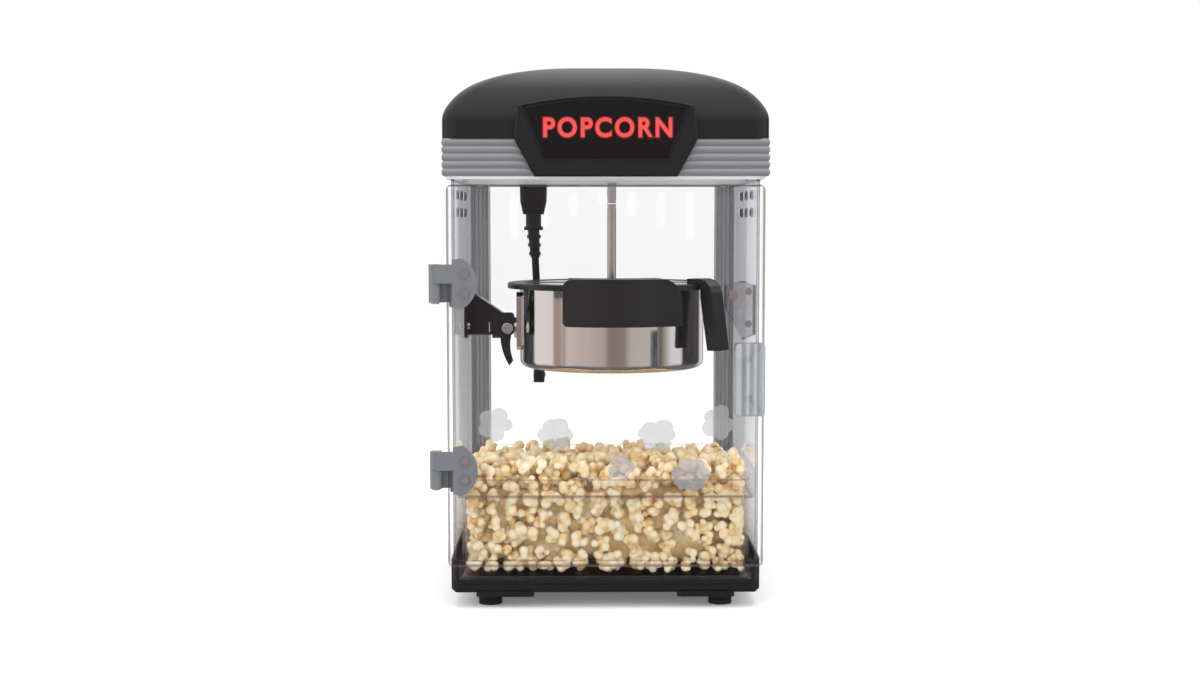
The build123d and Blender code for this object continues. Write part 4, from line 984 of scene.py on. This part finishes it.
def studio_world():
    """White for the eye and for soft light, and a band of cards and dark gaps for reflections."""
    world = bpy.data.worlds.new("studio")
    bpy.context.scene.world = world
    world.use_nodes = True
    tree = world.node_tree
    link = tree.links.new
    plain = tree.nodes["Background"]
    plain.inputs["Color"].default_value = (1, 1, 1, 1)
    plain.inputs["Strength"].default_value = 1.0
    place = tree.nodes.new("ShaderNodeTexCoord")
    split = tree.nodes.new("ShaderNodeSeparateXYZ")
    link(place.outputs["Generated"], split.inputs[0])
    front = tree.nodes.new("ShaderNodeMath")
    front.operation = "MULTIPLY"
    front.inputs[1].default_value = -1
    link(split.outputs["Y"], front.inputs[0])
    angle = tree.nodes.new("ShaderNodeMath")
    angle.operation = "ARCTAN2"
    link(split.outputs["X"], angle.inputs[0])
    link(front.outputs[0], angle.inputs[1])
    turn = tree.nodes.new("ShaderNodeMapRange")
    turn.inputs["From Min"].default_value = -math.pi
    turn.inputs["From Max"].default_value = math.pi
    link(angle.outputs[0], turn.inputs["Value"])
    ramp = tree.nodes.new("ShaderNodeValToRGB")
    elements = ramp.color_ramp.elements
    elements[0].position = 0
    elements[0].color = (*MIRRORED[0][1], 1)
    elements[1].position = 1
    elements[1].color = (*MIRRORED[-1][1], 1)
    for degrees, colour in MIRRORED[1:-1]:
        elements.new(0.5 + degrees / 360).color = (*colour, 1)
    link(turn.outputs["Result"], ramp.inputs["Fac"])
    sky = tree.nodes.new("ShaderNodeMapRange")
    sky.inputs["From Min"].default_value = 0.05
    sky.inputs["From Max"].default_value = 0.45
    link(split.outputs["Z"], sky.inputs["Value"])
    high = tree.nodes.new("ShaderNodeMix")
    high.data_type = "RGBA"
    high.inputs["B"].default_value = (0.95, 0.95, 0.97, 1)
    link(sky.outputs["Result"], high.inputs["Factor"])
    link(ramp.outputs["Color"], high.inputs["A"])
    ground = tree.nodes.new("ShaderNodeMapRange")
    ground.inputs["From Min"].default_value = -0.2
    ground.inputs["From Max"].default_value = -0.45
    link(split.outputs["Z"], ground.inputs["Value"])
    low = tree.nodes.new("ShaderNodeMix")
    low.data_type = "RGBA"
    low.inputs["B"].default_value = (0.16, 0.16, 0.17, 1)
    link(ground.outputs["Result"], low.inputs["Factor"])
    link(high.outputs["Result"], low.inputs["A"])
    cards = tree.nodes.new("ShaderNodeBackground")
    cards.inputs["Strength"].default_value = 0.9
    link(low.outputs["Result"], cards.inputs["Color"])
    ray = tree.nodes.new("ShaderNodeLightPath")
    both = tree.nodes.new("ShaderNodeMixShader")
    link(ray.outputs["Is Glossy Ray"], both.inputs[0])
    link(plain.outputs[0], both.inputs[1])
    link(cards.outputs[0], both.inputs[2])
    link(both.outputs[0], tree.nodes["World Output"].inputs["Surface"])


studio_world()


def area_light(name, place, aim, size, power, colour=(1, 1, 1)):
    data = bpy.data.lights.new(name, "AREA")
    data.shape = "RECTANGLE"
    data.size, data.size_y = size
    data.energy = power
    data.color = colour
    light = bpy.data.objects.new(name, data)
    bpy.context.collection.objects.link(light)
    light.location = place
    light.rotation_euler = (Vector(aim) - Vector(place)).to_track_quat("-Z", "Y").to_euler()
    light.visible_glossy = False
    return light


area_light("left_softbox", (-1.3, -0.9, 0.8), (0, 0, 0.22), (0.7, 1.1), 8)
area_light("right_softbox", (1.3, -0.8, 0.7), (0, 0, 0.22), (0.6, 1.1), 6)
area_light("top_softbox", (0.0, -0.3, 1.5), (0, 0, 0.3), (1.2, 0.9), 10)
